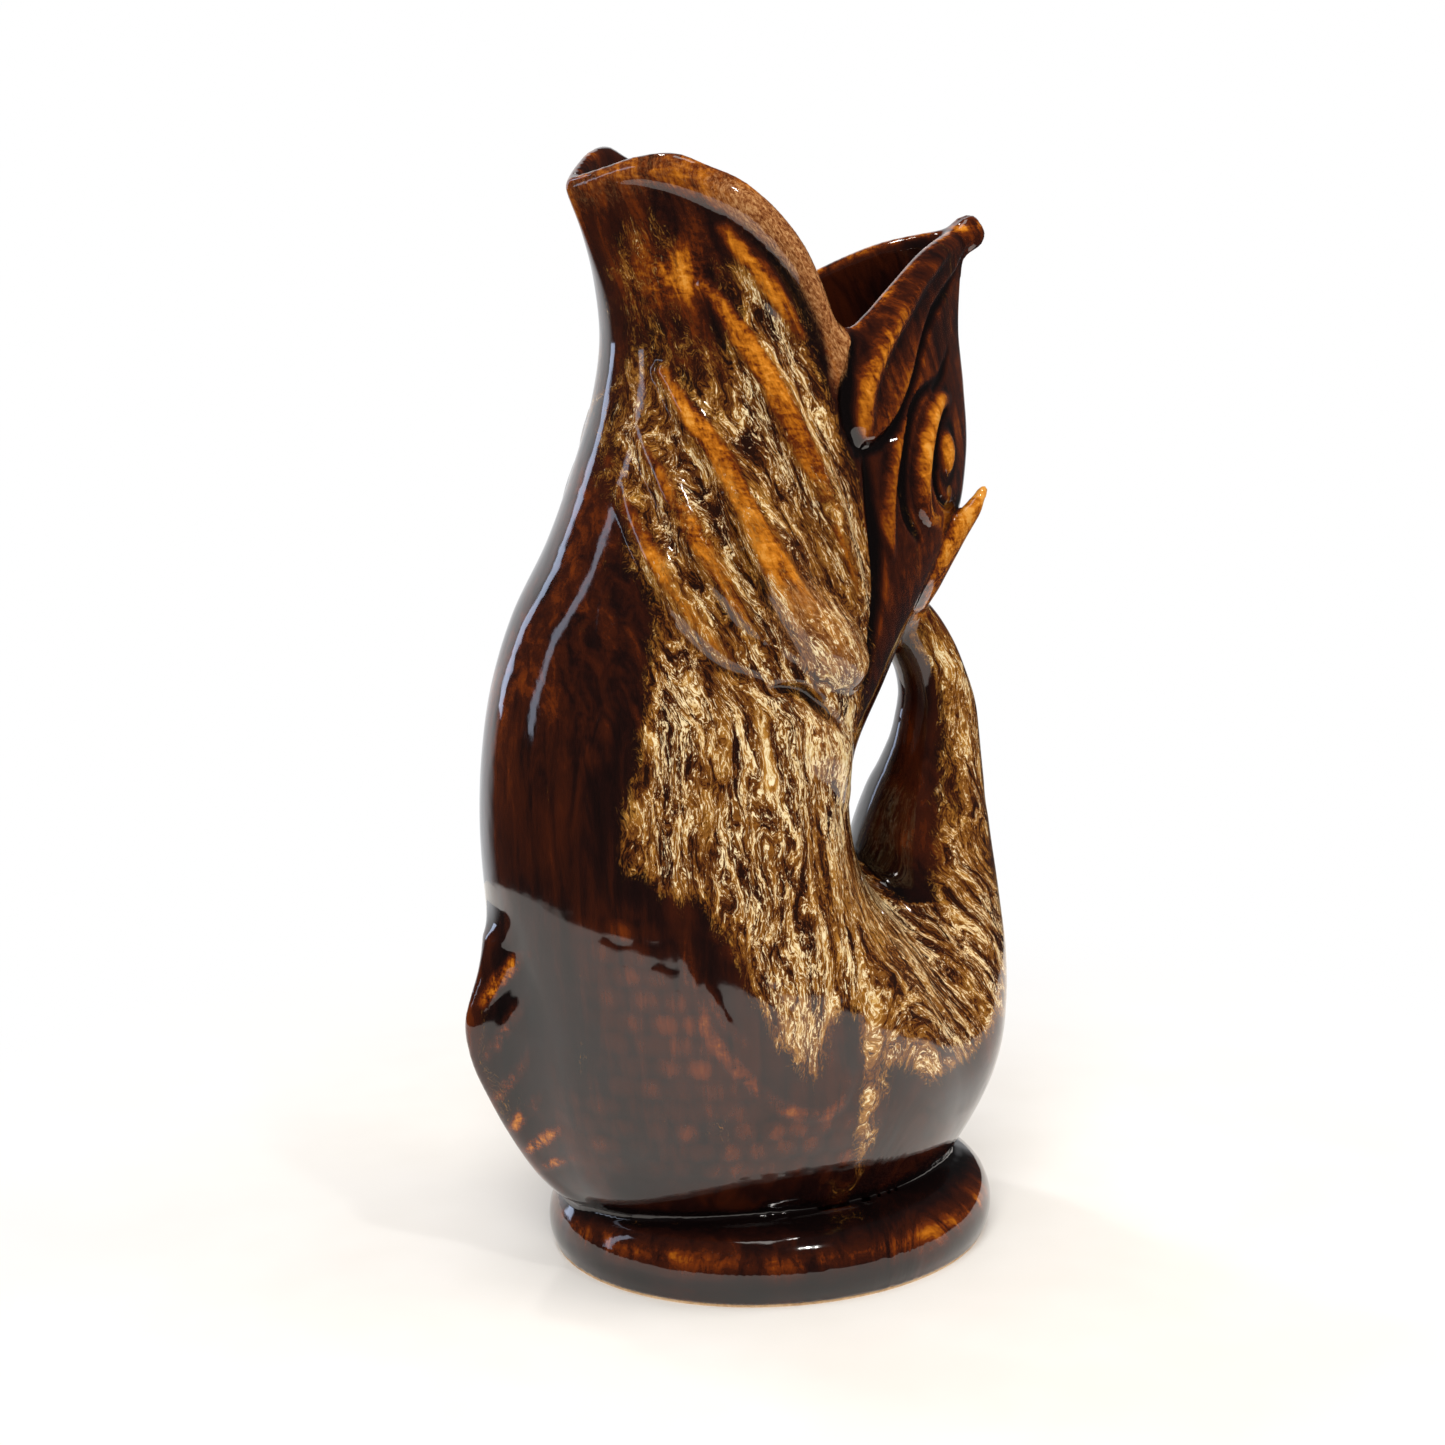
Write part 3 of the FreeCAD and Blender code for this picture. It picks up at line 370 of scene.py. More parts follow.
def hermite(knots, values, query):
    """Smooth curve through a table, held level beyond its ends."""
    knots = np.asarray(knots, float)
    values = np.asarray(values, float)
    slopes = np.gradient(values, knots)
    query = np.clip(query, knots[0], knots[-1])
    spot = np.clip(np.searchsorted(knots, query) - 1, 0, len(knots) - 2)
    width = knots[spot + 1] - knots[spot]
    part = (query - knots[spot]) / width
    square = part * part
    cube = part * part * part
    return ((2 * cube - 3 * square + 1) * values[spot] + (cube - 2 * square + part) * width * slopes[spot]
            + (3 * square - 2 * cube) * values[spot + 1] + (cube - square) * width * slopes[spot + 1])


def smooth_path(points, count):
    """A smooth path through some points, as a given count of them."""
    points = np.asarray(points, float)
    knots = np.arange(len(points), dtype=float)
    query = np.linspace(0, len(points) - 1, count)
    return np.stack([hermite(knots, points[:, column], query) for column in range(points.shape[1])], 1)


def smooth_min(a, b, k):
    """Join of two distance fields, rounded over a width."""
    mix = np.clip(0.5 + 0.5 * (b - a) / k, 0, 1)
    return b + (a - b) * mix - k * mix * (1 - mix)


def smooth_max(a, b, k):
    """What two distance fields share, rounded over a width."""
    return -smooth_min(-a, -b, k)


def step(low, high, value):
    """Smooth rise from 0 at the low value to 1 at the high one."""
    part = np.clip((value - low) / (high - low), 0, 1)
    return part * part * (3 - 2 * part)


def fall(low, high, value):
    """Smooth fall from 1 at the low value to 0 at the high one."""
    return 1 - step(low, high, value)


def hump(value, centre, width):
    """One at a centre, fading to both sides."""
    return np.exp(-((value - centre) / width) ** 2)


def share_of(height, full):
    """Height as a share, 0 to 1, of a full height."""
    return np.clip(height / full, 0, 1)


def section_values(z):
    """Front, rear, half width, widest place and powers of the body at a height."""
    return [hermite(BODY_LEVELS[:, 0], BODY_LEVELS[:, column], z) for column in range(1, 8)]


def section_reach(x, values, inset):
    """Share of the way from the widest place to front or rear, half width, and the powers there."""
    front, rear, half, middle, front_root, rear_power, rear_root = values
    front = front + inset
    rear = rear - inset * (0.5 + rear_root)
    ahead = x < middle
    reach = np.where(ahead, (middle - x) / (middle - front), (x - middle) / (rear - middle))
    return reach, half - inset, np.where(ahead, 2.0, rear_power), np.where(ahead, front_root, rear_root)


def fish(x, y, values, inset):
    """Zero on the skin of the fish, drawn in by the inset."""
    reach, half, power, root = section_reach(x, values, inset)
    return np.abs(reach) ** power + (np.abs(y) / half) ** (1 / root) - 1


def skin_reach(x, z):
    """Distance of the skin from the middle plane at a place of the side view."""
    reach, half, power, root = section_reach(x, section_values(z), 0.0)
    return half * np.clip(1 - np.clip(reach, 0, 1) ** power, 0, 1) ** root


def to_distance(field, first_slope):
    """Turn a field that is zero on a surface into rough distances near it."""
    for least_slope in (first_slope, SECOND_SLOPE):
        padded = np.concatenate([field[:, :1], field], axis=1)
        dx = np.gradient(field, VOXEL, axis=0)
        dy = np.gradient(padded, VOXEL, axis=1)[:, 1:]
        dz = np.gradient(field, VOXEL, axis=2)
        slope = np.sqrt(dx * dx + dy * dy + dz * dz)
        field = field / np.maximum(slope, least_slope)
    return field


def outline_distance(px, pz, outline):
    """Distance to a closed outline in the side view, below zero inside it."""
    shape = px.shape
    px = px.ravel()
    pz = pz.ravel()
    best = np.full(px.shape, 1e9)
    inside = np.zeros(px.shape, bool)
    following = np.roll(outline, -1, axis=0)
    for (ax, az), (bx, bz) in zip(outline, following):
        ex = bx - ax
        ez = bz - az
        length = ex * ex + ez * ez + 1e-12
        part = np.clip(((px - ax) * ex + (pz - az) * ez) / length, 0, 1)
        away = (px - ax - ex * part) ** 2 + (pz - az - ez * part) ** 2
        best = np.minimum(best, away)
        if az != bz:
            crosses = ((az > pz) != (bz > pz)) & (px < ex * (pz - az) / (bz - az) + ax)
            inside ^= crosses
    result = np.sqrt(best)
    return np.where(inside, -result, result).reshape(shape)


# The body and its cavity, as fields over the near half of the box.
xs = np.arange(*GRID_X, VOXEL)
ys = -(np.arange(*GRID_Y, VOXEL) + 0.5 * VOXEL)
zs = np.arange(*GRID_Z, VOXEL)
X = xs[:, None, None].astype(np.float32)
Y = ys[None, :, None].astype(np.float32)
Z = zs[None, None, :].astype(np.float32)
side_x, side_z = np.meshgrid(xs, zs, indexing="ij")

level_values = [value[None, None, :].astype(np.float32) for value in section_values(zs)]
body = to_distance(fish(X, Y, level_values, 0.0).astype(np.float32), BODY_SLOPE)
body = np.maximum(body, BODY_FLOOR - Z)
hollow = to_distance(fish(X, Y, level_values, WALL).astype(np.float32), BODY_SLOPE)
hollow = np.maximum(hollow, CAVITY_FLOOR - Z)
foot_hollow = np.sqrt((X / FOOT_CAVITY_RADII[0]) ** 2 + (Y / FOOT_CAVITY_RADII[1]) ** 2) - 1
foot_hollow = foot_hollow * FOOT_CAVITY_REACH
foot_hollow = np.maximum(np.maximum(foot_hollow, FOOT_CAVITY_LEVELS[0] - Z), Z - FOOT_CAVITY_LEVELS[1])
hollow = smooth_min(hollow, foot_hollow, FOOT_CAVITY_JOIN)

# The tail: nearest place on its spine, then an oval section there.
spine = smooth_path(TAIL_SPINE, 90)
nearest = np.full(side_x.shape, 1e9)
tail_depth = np.ones(side_x.shape)
tail_width = np.ones(side_x.shape)
for start, end in zip(spine[:-1], spine[1:]):
    ex = end[0] - start[0]
    ez = end[1] - start[1]
    part = np.clip(((side_x - start[0]) * ex + (side_z - start[1]) * ez) / (ex * ex + ez * ez), 0, 1)
    away = (side_x - start[0] - ex * part) ** 2 + (side_z - start[1] - ez * part) ** 2
    closer = away < nearest
    nearest[closer] = away[closer]
    tail_depth[closer] = (start[2] + (end[2] - start[2]) * part)[closer]
    tail_width[closer] = (start[3] + (end[3] - start[3]) * part)[closer]
tail = (nearest / tail_depth ** 2)[:, None, :].astype(np.float32)
tail = np.sqrt(tail + (Y / tail_width[:, None, :].astype(np.float32)) ** 2) - 1
tail = to_distance(tail.astype(np.float32), TAIL_SLOPE)
tail = np.maximum(tail, (np.sqrt(nearest) - tail_depth)[:, None, :].astype(np.float32))

# The foot: an oval whose outline stands back by the profile.
stand_back = hermite(FOOT_BASE + FOOT_PROFILE[:, 0], FOOT_PROFILE[:, 1], zs)[None, None, :]
foot = np.sqrt((X / (FOOT_HALF_LENGTH - stand_back)) ** 2 + (Y / (FOOT_HALF_WIDTH - stand_back)) ** 2) - 1
foot = to_distance(foot.astype(np.float32), FOOT_SLOPE)
foot = smooth_max(foot, REST_LEVEL - Z, REST_JOIN)
foot = smooth_max(foot, Z - FOOT_BASE - FOOT_HEIGHT, FOOT_JOIN)

# The fin along the belly: a plate that thickens inwards, blended into the body.
crest = smooth_path(BELLY_FIN_CREST, 60)
fin_outline = np.concatenate([crest, [(FIN_INSIDE, crest[-1, 1]), (FIN_INSIDE, crest[0, 1])]])
fin_side = outline_distance(side_x, side_z, fin_outline)[:, None, :]
keel = np.abs(Y) - (KEEL_HALF_WIDTH - KEEL_TAPER * np.minimum(fin_side, 0))
belly_fin = smooth_max(fin_side, keel, KEEL_JOIN).astype(np.float32)

# The lobes that end the tail: ovals along a line, worked out in a small part of the box.
lobe = smooth_path(FLUKE, 50)
centres = lobe[:, :3] * np.array((1, -1, 1))
along = np.gradient(centres, axis=0)
along /= np.linalg.norm(along, axis=1)[:, None]
facing = np.array(FLUKE_FACING) - along * (along @ np.array(FLUKE_FACING))[:, None]
facing /= np.linalg.norm(facing, axis=1)[:, None]
across = np.cross(along, facing)
low = np.searchsorted(xs, FLUKE_BOX[0])
bottom = np.searchsorted(zs, FLUKE_BOX[1])
top = np.searchsorted(zs, FLUKE_BOX[2])
fluke = np.full(body.shape, FLUKE_FAR, np.float32)
gx, gy, gz = np.meshgrid(xs[low:], ys, zs[bottom:top], indexing="ij")
nearest = np.full(gx.shape, 1e9)
value = np.full(gx.shape, FLUKE_FAR)
for number in range(len(centres)):
    rx = gx - centres[number, 0]
    ry = gy - centres[number, 1]
    rz = gz - centres[number, 2]
    away = rx * rx + ry * ry + rz * rz
    closer = away < nearest
    nearest[closer] = away[closer]
    wide, thick, lengthways = (rx * way[number, 0] + ry * way[number, 1] + rz * way[number, 2]
                               for way in (across, facing, along))
    here = np.sqrt((wide / (FLUKE_HALF_WIDTH * lobe[number, 3])) ** 2
                   + (thick / (FLUKE_HALF_THICKNESS * lobe[number, 4])) ** 2
                   + (lengthways / FLUKE_END_RADIUS) ** 2) - 1
    value[closer] = here[closer]
far_off = np.sqrt(nearest) - FLUKE_HALF_WIDTH * 1.1
fluke[low:, :, bottom:top] = np.maximum(to_distance(value.astype(np.float32), FLUKE_SLOPE), far_off)
del gx, gy, gz, nearest, value

# Join the outside, hollow it out and open the mouth.
tail_join = TAIL_JOIN - TAIL_JOIN_LOSS * step(*TAIL_JOIN_LEVELS, zs)[None, None, :]
outside = smooth_min(body, tail, tail_join)
outside = smooth_min(outside, belly_fin, FIN_JOIN)
outside = smooth_min(outside, foot, FOOT_JOIN)
outside = smooth_min(outside, fluke, FLUKE_JOIN)
nub = np.sqrt((X - NUB_PLACE[0]) ** 2 + Y ** 2 + (Z - NUB_PLACE[1]) ** 2) - NUB_RADIUS
edge = smooth_path(MOUTH_EDGE, 220)
front_x = edge[0, 0] - OPEN_AHEAD
rear_x = edge[-1, 0] + OPEN_BEHIND
open_above = [(rear_x, edge[-1, 1]), (rear_x, OPEN_TOP), (front_x, OPEN_TOP), (front_x, edge[0, 1])]
mouth_outline = np.concatenate([edge, open_above])
fuller = FULLER_RIM * step(-30, -19, side_x) * fall(-4, 3, side_x)
mouth = (outline_distance(side_x, side_z, mouth_outline) + fuller)[:, None, :].astype(np.float32)
whole = smooth_max(outside, -hollow, WALL_JOIN)
whole = smooth_max(whole, -mouth, RIM_JOIN)
whole = smooth_min(whole, nub, NUB_JOIN)

# The mesh from the field.
full = np.concatenate([whole[:, ::-1], whole], axis=1).astype(np.float32)
band = 4 * VOXEL
full = np.clip(full, -band, band)
grid = openvdb.FloatGrid(band)
grid.copyFromArray(full)
grid.transform = openvdb.createLinearTransform(voxelSize=1.0)
vertices, quads = grid.convertToQuads(0.0)
vertices = np.asarray(vertices, dtype=np.float64)
quads = np.asarray(quads, dtype=np.int64)
place = np.empty_like(vertices)
place[:, 0] = xs[0] + vertices[:, 0] * VOXEL
place[:, 1] = (vertices[:, 1] - (len(ys) - 0.5)) * -VOXEL
place[:, 2] = zs[0] + vertices[:, 2] * VOXEL


def sample(volume, points):
    """Value of a half volume at points, mirrored over the middle plane."""
    ix = np.clip((points[:, 0] - xs[0]) / VOXEL, 0, len(xs) - 1.001)
    iy = np.clip((np.abs(points[:, 1]) - 0.5 * VOXEL) / VOXEL, 0, len(ys) - 1.001)
    iz = np.clip((points[:, 2] - zs[0]) / VOXEL, 0, len(zs) - 1.001)
    cx, cy, cz = ix.astype(int), iy.astype(int), iz.astype(int)
    fx, fy, fz = ix - cx, iy - cy, iz - cz
    total = 0.0
    for ox in (0, 1):
        for oy in (0, 1):
            for oz in (0, 1):
                weight = (fx if ox else 1 - fx) * (fy if oy else 1 - fy) * (fz if oz else 1 - fz)
                total = total + weight * volume[cx + ox, cy + oy, cz + oz]
    return total


def normals_of(points, faces):
    """Normals of the vertices, from the faces round them."""
    one = points[faces[:, 2]] - points[faces[:, 0]]
    two = points[faces[:, 3]] - points[faces[:, 1]]
    face_normals = np.cross(one, two)
    result = np.zeros_like(points)
    for corner in range(4):
        for column in range(3):
            result[:, column] += np.bincount(faces[:, corner], face_normals[:, column], len(points))
    return result / (np.linalg.norm(result, axis=1)[:, None] + 1e-12)


normals = normals_of(place, quads)
probe = sample(whole, place + normals * 0.8) - sample(whole, place - normals * 0.8)
if probe.mean() < 0:
    quads = quads[:, ::-1]
    normals = -normals

# The fields' values at each vertex.
at_outside, at_hollow, at_tail, at_body, at_foot, at_fluke, at_belly_fin, at_nub, at_mouth = (
    sample(field, place) for field in
    (outside, hollow, tail, body, foot, fluke, belly_fin, nub, np.broadcast_to(mouth, whole.shape)))
outer = fall(-1.2, 1.2, np.abs(at_outside) - np.abs(at_hollow))

# Each vertex, mirrored to the near half.
spot = place.copy()
spot[:, 1] = -np.abs(spot[:, 1])
at_x = spot[:, 0]
at_y = spot[:, 1]
at_z = spot[:, 2]


def stroke(path, power=0.9, spread=1.0):
    """Height, at each vertex, of a rounded bar drawn on the skin."""
    path = np.asarray(path, float)
    dense = smooth_path(path, 8 * len(path))
    line = np.stack([dense[:, 0], -skin_reach(dense[:, 0], dense[:, 1]), dense[:, 1]], 1)
    reach = dense[:, 2].max() * spread + 3
    near = np.where(((spot > line.min(0) - reach) & (spot < line.max(0) + reach)).all(1))[0]
    points = spot[near]
    best = np.full(len(near), 9.0)
    rise = np.zeros(len(near))
    for number in range(len(line) - 1):
        start = line[number]
        end = line[number + 1]
        along = end - start
        part = np.clip((points - start) @ along / (along @ along + 1e-9), 0, 1)
        away = np.linalg.norm(points - start - along * part[:, None], axis=1)
        wide = (dense[number, 2] + (dense[number + 1, 2] - dense[number, 2]) * part) * spread
        tall = dense[number, 3] + (dense[number + 1, 3] - dense[number, 3]) * part
        share = away / wide
        closer = share < best
        best[closer] = share[closer]
        rise[closer] = tall[closer]
    height = np.zeros(len(spot))
    height[near] = rise * np.clip(1 - best ** 2, 0, 1) ** power
    return height


def strokes(paths, power=0.9, spread=1.0):
    """Height of the highest of some bars."""
    total = np.zeros(len(spot))
    for path in paths:
        total = np.maximum(total, stroke(path, power, spread))
    return total


def area(outline, edge_width, centre_shift=0.0):
    """Soft mask of an outline on the side view."""
    away = outline_distance(at_x, at_z, outline)
    return fall(-edge_width + centre_shift, edge_width + centre_shift, away)


# The relief, from the outlines and strokes in the tables.
side_facing = step(0.02, 0.25, normals[:, 1] * np.sign(place[:, 1]))
rays = strokes(PECTORAL_RAYS, 1.15, 1.06)
fin_base = strokes(FIN_BASE, 1.6)
creases = strokes(FIN_CREASES, 1.6)
swells = strokes(BODY_SWELLS, 1.8)
roll = strokes(LIP_ROLL, 1.1)
leaf = area(UPPER_LIP, 1.3) * side_facing
leaf_crest = strokes(LEAF_CREST, 1.5)
leaf_groove = strokes(LEAF_GROOVE, 1.6)
eye_ring = strokes(EYE_RING, 0.9)
eye_grooves = strokes(EYE_GROOVES, 1.5)
gill = strokes(GILL_RIDGE, 1.1)
side_fin = strokes(SIDE_FIN_EDGE, 1.1)
side_web = area(SIDE_FIN_WEB, 1.6) * side_facing

# The belly fin is thin, so its rays are drawn on the side view and not on the skin.
fin_rays = np.zeros(len(spot))
for ray in BELLY_RAYS:
    for x, z, wide, tall in smooth_path(ray, 24):
        away = np.hypot(at_x - x, at_z - z) / wide
        fin_rays = np.maximum(fin_rays, tall * np.clip(1 - away ** 2, 0, 1) ** 1.2)
fin_rays *= side_facing

pupil_y = -float(skin_reach(np.array(PUPIL[0]), np.array(PUPIL[1])))
pupil_away = np.sqrt(((at_x - PUPIL[0]) / PUPIL_RADII[0]) ** 2 + ((at_y - pupil_y) / PUPIL_RADII[1]) ** 2
                     + ((at_z - PUPIL[1]) / PUPIL_RADII[2]) ** 2)
pupil = PUPIL_HEIGHT * np.clip(1 - pupil_away ** 2, 0, 1) ** 0.7

# Scales: offset rows of low bumps over the lower body, some plainer than others.
row = (at_z - SCALE_START) / SCALE_RISE
along_row = (at_x + SCALE_SHIFT * (np.floor(row) % 2) + 0.10 * (at_z - 60)) / SCALE_LENGTH
cell_x = along_row - np.floor(along_row) - 0.5
cell_z = row - np.floor(row) - 0.5
scale_away = np.sqrt((cell_x * SCALE_LENGTH) ** 2 + (cell_z * SCALE_RISE) ** 2)
scale_zone = step(26, 32, at_z) * fall(88, 100, at_z + 0.18 * (at_x + 40))
scale_zone *= step(-68, -52, at_x) * fall(0, 14, at_x) * side_facing
scale_zone *= 1 - 0.8 * area(SIDE_FIN_WEB, 2.0, 1.5)
scale_number = np.floor(along_row) * 12.9898 + np.floor(row) * 78.233
scale_chance = np.abs(np.sin(scale_number) * 43758.5453) % 1.0
scales = scale_zone * np.clip(1 - (scale_away / SCALE_RADIUS) ** 2, 0, 1)
scales *= 0.35 + 0.65 * scale_chance ** 1.5

web = area(PECTORAL_WEB, 6.5) * side_facing
web *= np.clip(step(-44, -30, at_x) + 1 - step(168, 186, at_z), 0.15, 1)
relief = (FIN_RAY_SHARE * fin_rays + np.maximum(RAY_SHARE * rays, web)
          + RAY_ON_WEB_SHARE * np.minimum(rays, web)
          + fin_base + swells + roll + LEAF_SHARE * leaf + leaf_crest + eye_ring + gill + pupil
          + SIDE_FIN_SHARE * side_fin + SIDE_WEB_SHARE * side_web + SCALE_SHARE * scales
          - creases - leaf_groove - eye_grooves)
relief *= outer * fall(0, 2, 0.5 - at_foot) * step(0.2, 3.6, np.abs(at_mouth))
place = place + normals * relief[:, None]
normals = normals_of(place, quads)

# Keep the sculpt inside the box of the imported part.
low_corner = np.array(cad_box[0]) / MM
high_corner = np.array(cad_box[1]) / MM
place = np.clip(place, low_corner + BOX_MARGIN, high_corner - BOX_MARGIN)

# How far each place stands out of its surroundings: glaze runs thin there and pools in hollows. The shader
# also paints shade from it, darkening the gold and cream in the hollows between the rays.
edge_a = quads.T.ravel()
edge_b = np.roll(quads, -1, axis=1).T.ravel()
valence = np.bincount(edge_a, minlength=len(place)).astype(float)
valence[valence == 0] = 1


def relaxed(points, rounds):
    """The points drawn towards their neighbours' middle, some rounds long."""
    for number in range(rounds):
        mean = np.stack([np.bincount(edge_a, points[edge_b, column], len(points)) / valence
                         for column in range(3)], 1)
        points = points + 0.6 * (mean - points)
    return points


fine = relaxed(place, int(FINE_REACH / VOXEL))
coarse = relaxed(fine, int(COARSE_REACH / VOXEL))
stands_out = ((place - coarse) * normals).sum(1)
stands_fine = ((place - fine) * normals).sum(1)
near_rim = fall(2, 9, np.abs(at_mouth))
stands_out = stands_out * (1 - 0.85 * near_rim)
stands_fine = stands_fine * (1 - 0.70 * near_rim)

# Where the cream glaze lies: the run on the flank, the tail's outer side, less on what stands out.
on_tail = at_tail < at_body
tail_cream = step(-0.62, -0.10, normals[:, 0]) * step(40, 62, at_z)
tail_cream *= 1 - 0.55 * step(138, 150, at_z)
tail_cream *= 0.86
cream = fall(-6, 3, outline_distance(at_x, at_z, CREAM_AREA))
tail_root_cream = np.maximum(cream, tail_cream * step(48, 60, at_z))
cream = np.where(on_tail, np.where(at_z > TAIL_ROOT_TOP, tail_cream, tail_root_cream), cream)
cream *= outer
bare_rays = share_of(strokes(PECTORAL_RAYS[:2] + PECTORAL_RAYS[3:], 1.2, 0.60), 1.7)
bare_upper = stroke(PECTORAL_RAYS[2], 1.2, 0.60) / 2.4 * step(158, 176, at_z)
bare = np.clip(np.maximum(bare_rays, bare_upper), 0, 1)
low_ray = fall(165, 215, at_z)
cream *= (1 - (0.72 - 0.30 * low_ray) * bare) * (1 - 0.55 * share_of(creases, 1.4))
sparse = step(196, 222, at_z) * fall(-30, -16, at_x)
cream *= 1 - 0.68 * sparse
cream *= 1 - 0.9 * share_of(roll, 1.2)

# Where the glaze is tan: on the lip's roll, the rim, and the low swellings of the large fin.
bulge = np.maximum(stroke(PECTORAL_RAYS[2][5:], 1.0, 1.15) / 4.0, strokes(FIN_BASE, 1.0, 1.1) / 2.2)
rim_band = fall(2, 13, np.abs(at_mouth)) * fall(-4, 2, at_x)
tan = np.maximum(0.85 * share_of(roll, 1.4) * step(-36, -18, at_x), 0.45 * np.clip(bulge, 0, 1))
tan = np.clip(np.maximum(tan, 0.26 * rim_band), 0, 1) * outer

# The glaze ran down and back on the flank, and down along the tail's root.
slant = 0.46 * (np.clip(at_z, 138, 260) - 138) + 0.06 * (np.clip(at_z, 60, 138) - 138)
root = step(0, 22, at_x) * fall(86, 104, at_z)
flow_across = at_x + slant + 0.75 * root * (at_z - 95.0)
flow = np.stack([flow_across, place[:, 1], at_z], 1)


def face_mean(values):
    """Mean of the vertices' values on each face."""
    return values[quads].mean(1)


# The label of each face: the node of the CAD that it dresses.
f_z = face_mean(place[:, 2])
f_y = face_mean(place[:, 1])
f_out = face_mean(outer) > 0.5
label = np.where(f_z < SPLIT_HEIGHT, "belly", "head").astype(object)
f_tail = face_mean((at_tail < at_body).astype(float)) > 0.5
label[f_out & f_tail & (face_mean(at_foot) > 0.0)] = "tail"
label[f_out & (face_mean(at_foot) < FOOT_REACH) & (f_z < FOOT_TOP)] = "foot"
label[~f_out & (f_z < FOOT_INSIDE_TOP)] = "foot"
f_fin = (face_mean(at_belly_fin) < face_mean(at_body)) & (face_mean(at_foot) > FOOT_REACH)
label[f_out & f_fin & (f_z > BELLY_FIN_BOTTOM)] = "belly_fin"
sides = np.where(f_y < 0, "_left", "_right").astype(object)


def take(name, mask, mirrored=True):
    """Give the faces under a mask to a node, or to its left and right twins."""
    chosen = f_out & (face_mean(mask) > 0.5) & (label != "foot") & (label != "tail")
    if mirrored:
        label[chosen] = name + sides[chosen]
    else:
        label[chosen] = name


take("pectoral_fin", np.maximum(web, rays / 1.2))
take("side_fin", np.maximum(side_fin / 0.8, side_web))
take("upper_lip", leaf)
take("gill_ridge", gill / 0.9)
take("eye_ring", eye_ring / 0.9)
take("eye_pupil", pupil / 0.8)
take("lip_roll", roll / 0.8, False)
take("snout_nub", (at_nub < 1.2).astype(float), False)
near_fluke = f_out & (face_mean(at_fluke) < np.minimum(face_mean(at_body), face_mean(at_tail)))
label[near_fluke] = "tail_fluke" + sides[near_fluke]


def srgb(red, green, blue):
    """Linear colour from the usual 0 to 255 numbers."""
    def line(value):
        value = value / 255
        return value / 12.92 if value <= 0.04045 else ((value + 0.055) / 1.055) ** 2.4
    return (line(red), line(green), line(blue), 1.0)


class Tree:
    """Short calls for building the node tree of a material or a world."""

    def __init__(self, owner):
        owner.use_nodes = True
        self.tree = owner.node_tree
        self.tree.nodes.clear()

    def add(self, kind, **inputs):
        node = self.tree.nodes.new("ShaderNode" + kind)
        for key, value in inputs.items():
            self.plug(node, key.replace("_", " "), value)
        return node

    def plug(self, node, key, value):
        """Link a socket, or set a value, at an input given by its name or number."""
        socket = node.inputs[int(key)] if key.isdigit() else node.inputs[key]
        if isinstance(value, bpy.types.NodeSocket):
            self.tree.links.new(value, socket)
        else:
            socket.default_value = value

    def math(self, operation, first, second=None, third=None, clamp=False):
        node = self.add("Math")
        node.operation = operation
        node.use_clamp = clamp
        for number, value in enumerate((first, second, third)):
            if value is not None:
                self.plug(node, str(number), value)
        return node.outputs[0]

    def more(self, value, share, onto):
        """A share of a value, added onto another."""
        return self.math("MULTIPLY_ADD", value, share, onto)

    def less(self, value, amount):
        return self.math("SUBTRACT", value, amount)

    def times(self, first, second):
        return self.math("MULTIPLY", first, second)

    def ramp(self, factor, stops):
        node = self.add("ValToRGB")
        elements = node.color_ramp.elements
        while len(elements) < len(stops):
            elements.new(0.5)
        for element, (position, colour) in zip(elements, stops):
            element.position = position
            element.color = srgb(*colour)
        self.plug(node, "0", factor)
        return node.outputs[0]

    def noise(self, vector, scale, detail, roughness=0.5, distortion=0.0, output="Fac"):
        node = self.add("TexNoise", Vector=vector, Scale=scale, Detail=detail,
                        Roughness=roughness, Distortion=distortion)
        return node.outputs[output]

    def layer(self, vector, settings):
        """Noise from one of the tables of settings."""
        stretch, *rest = settings
        return self.noise(self.scaled(vector, stretch), *rest)

    def mix(self, factor, first, second):
        node = self.add("Mix")
        node.data_type = "RGBA"
        self.plug(node, "0", factor)
        self.plug(node, "6", first)
        self.plug(node, "7", second)
        return node.outputs[2]

    def vector_math(self, operation, first, second=None):
        node = self.add("VectorMath")
        node.operation = operation
        self.plug(node, "0", first)
        if second is not None:
            self.plug(node, "1", second)
        return node

    def scaled(self, vector, factors):
        return self.vector_math("MULTIPLY", vector, factors).outputs[0]

    def added(self, first, second):
        return self.vector_math("ADD", first, second).outputs[0]

    def attribute(self, name, output="Fac"):
        node = self.add("Attribute")
        node.attribute_type = "GEOMETRY"
        node.attribute_name = name
        return node.outputs[output]

    def smoothstep(self, value, low, high, start=0.0, end=1.0):
        node = self.add("MapRange")
        node.interpolation_type = "SMOOTHSTEP"
        for key, number in (("Value", value), ("From Min", low), ("From Max", high),
                            ("To Min", start), ("To Max", end)):
            self.plug(node, key, number)
        return node.outputs[0]

    def mix_shaders(self, share, first, second):
        node = self.add("MixShader")
        for number, value in enumerate((share, first, second)):
            self.plug(node, str(number), value)
        return node.outputs[0]


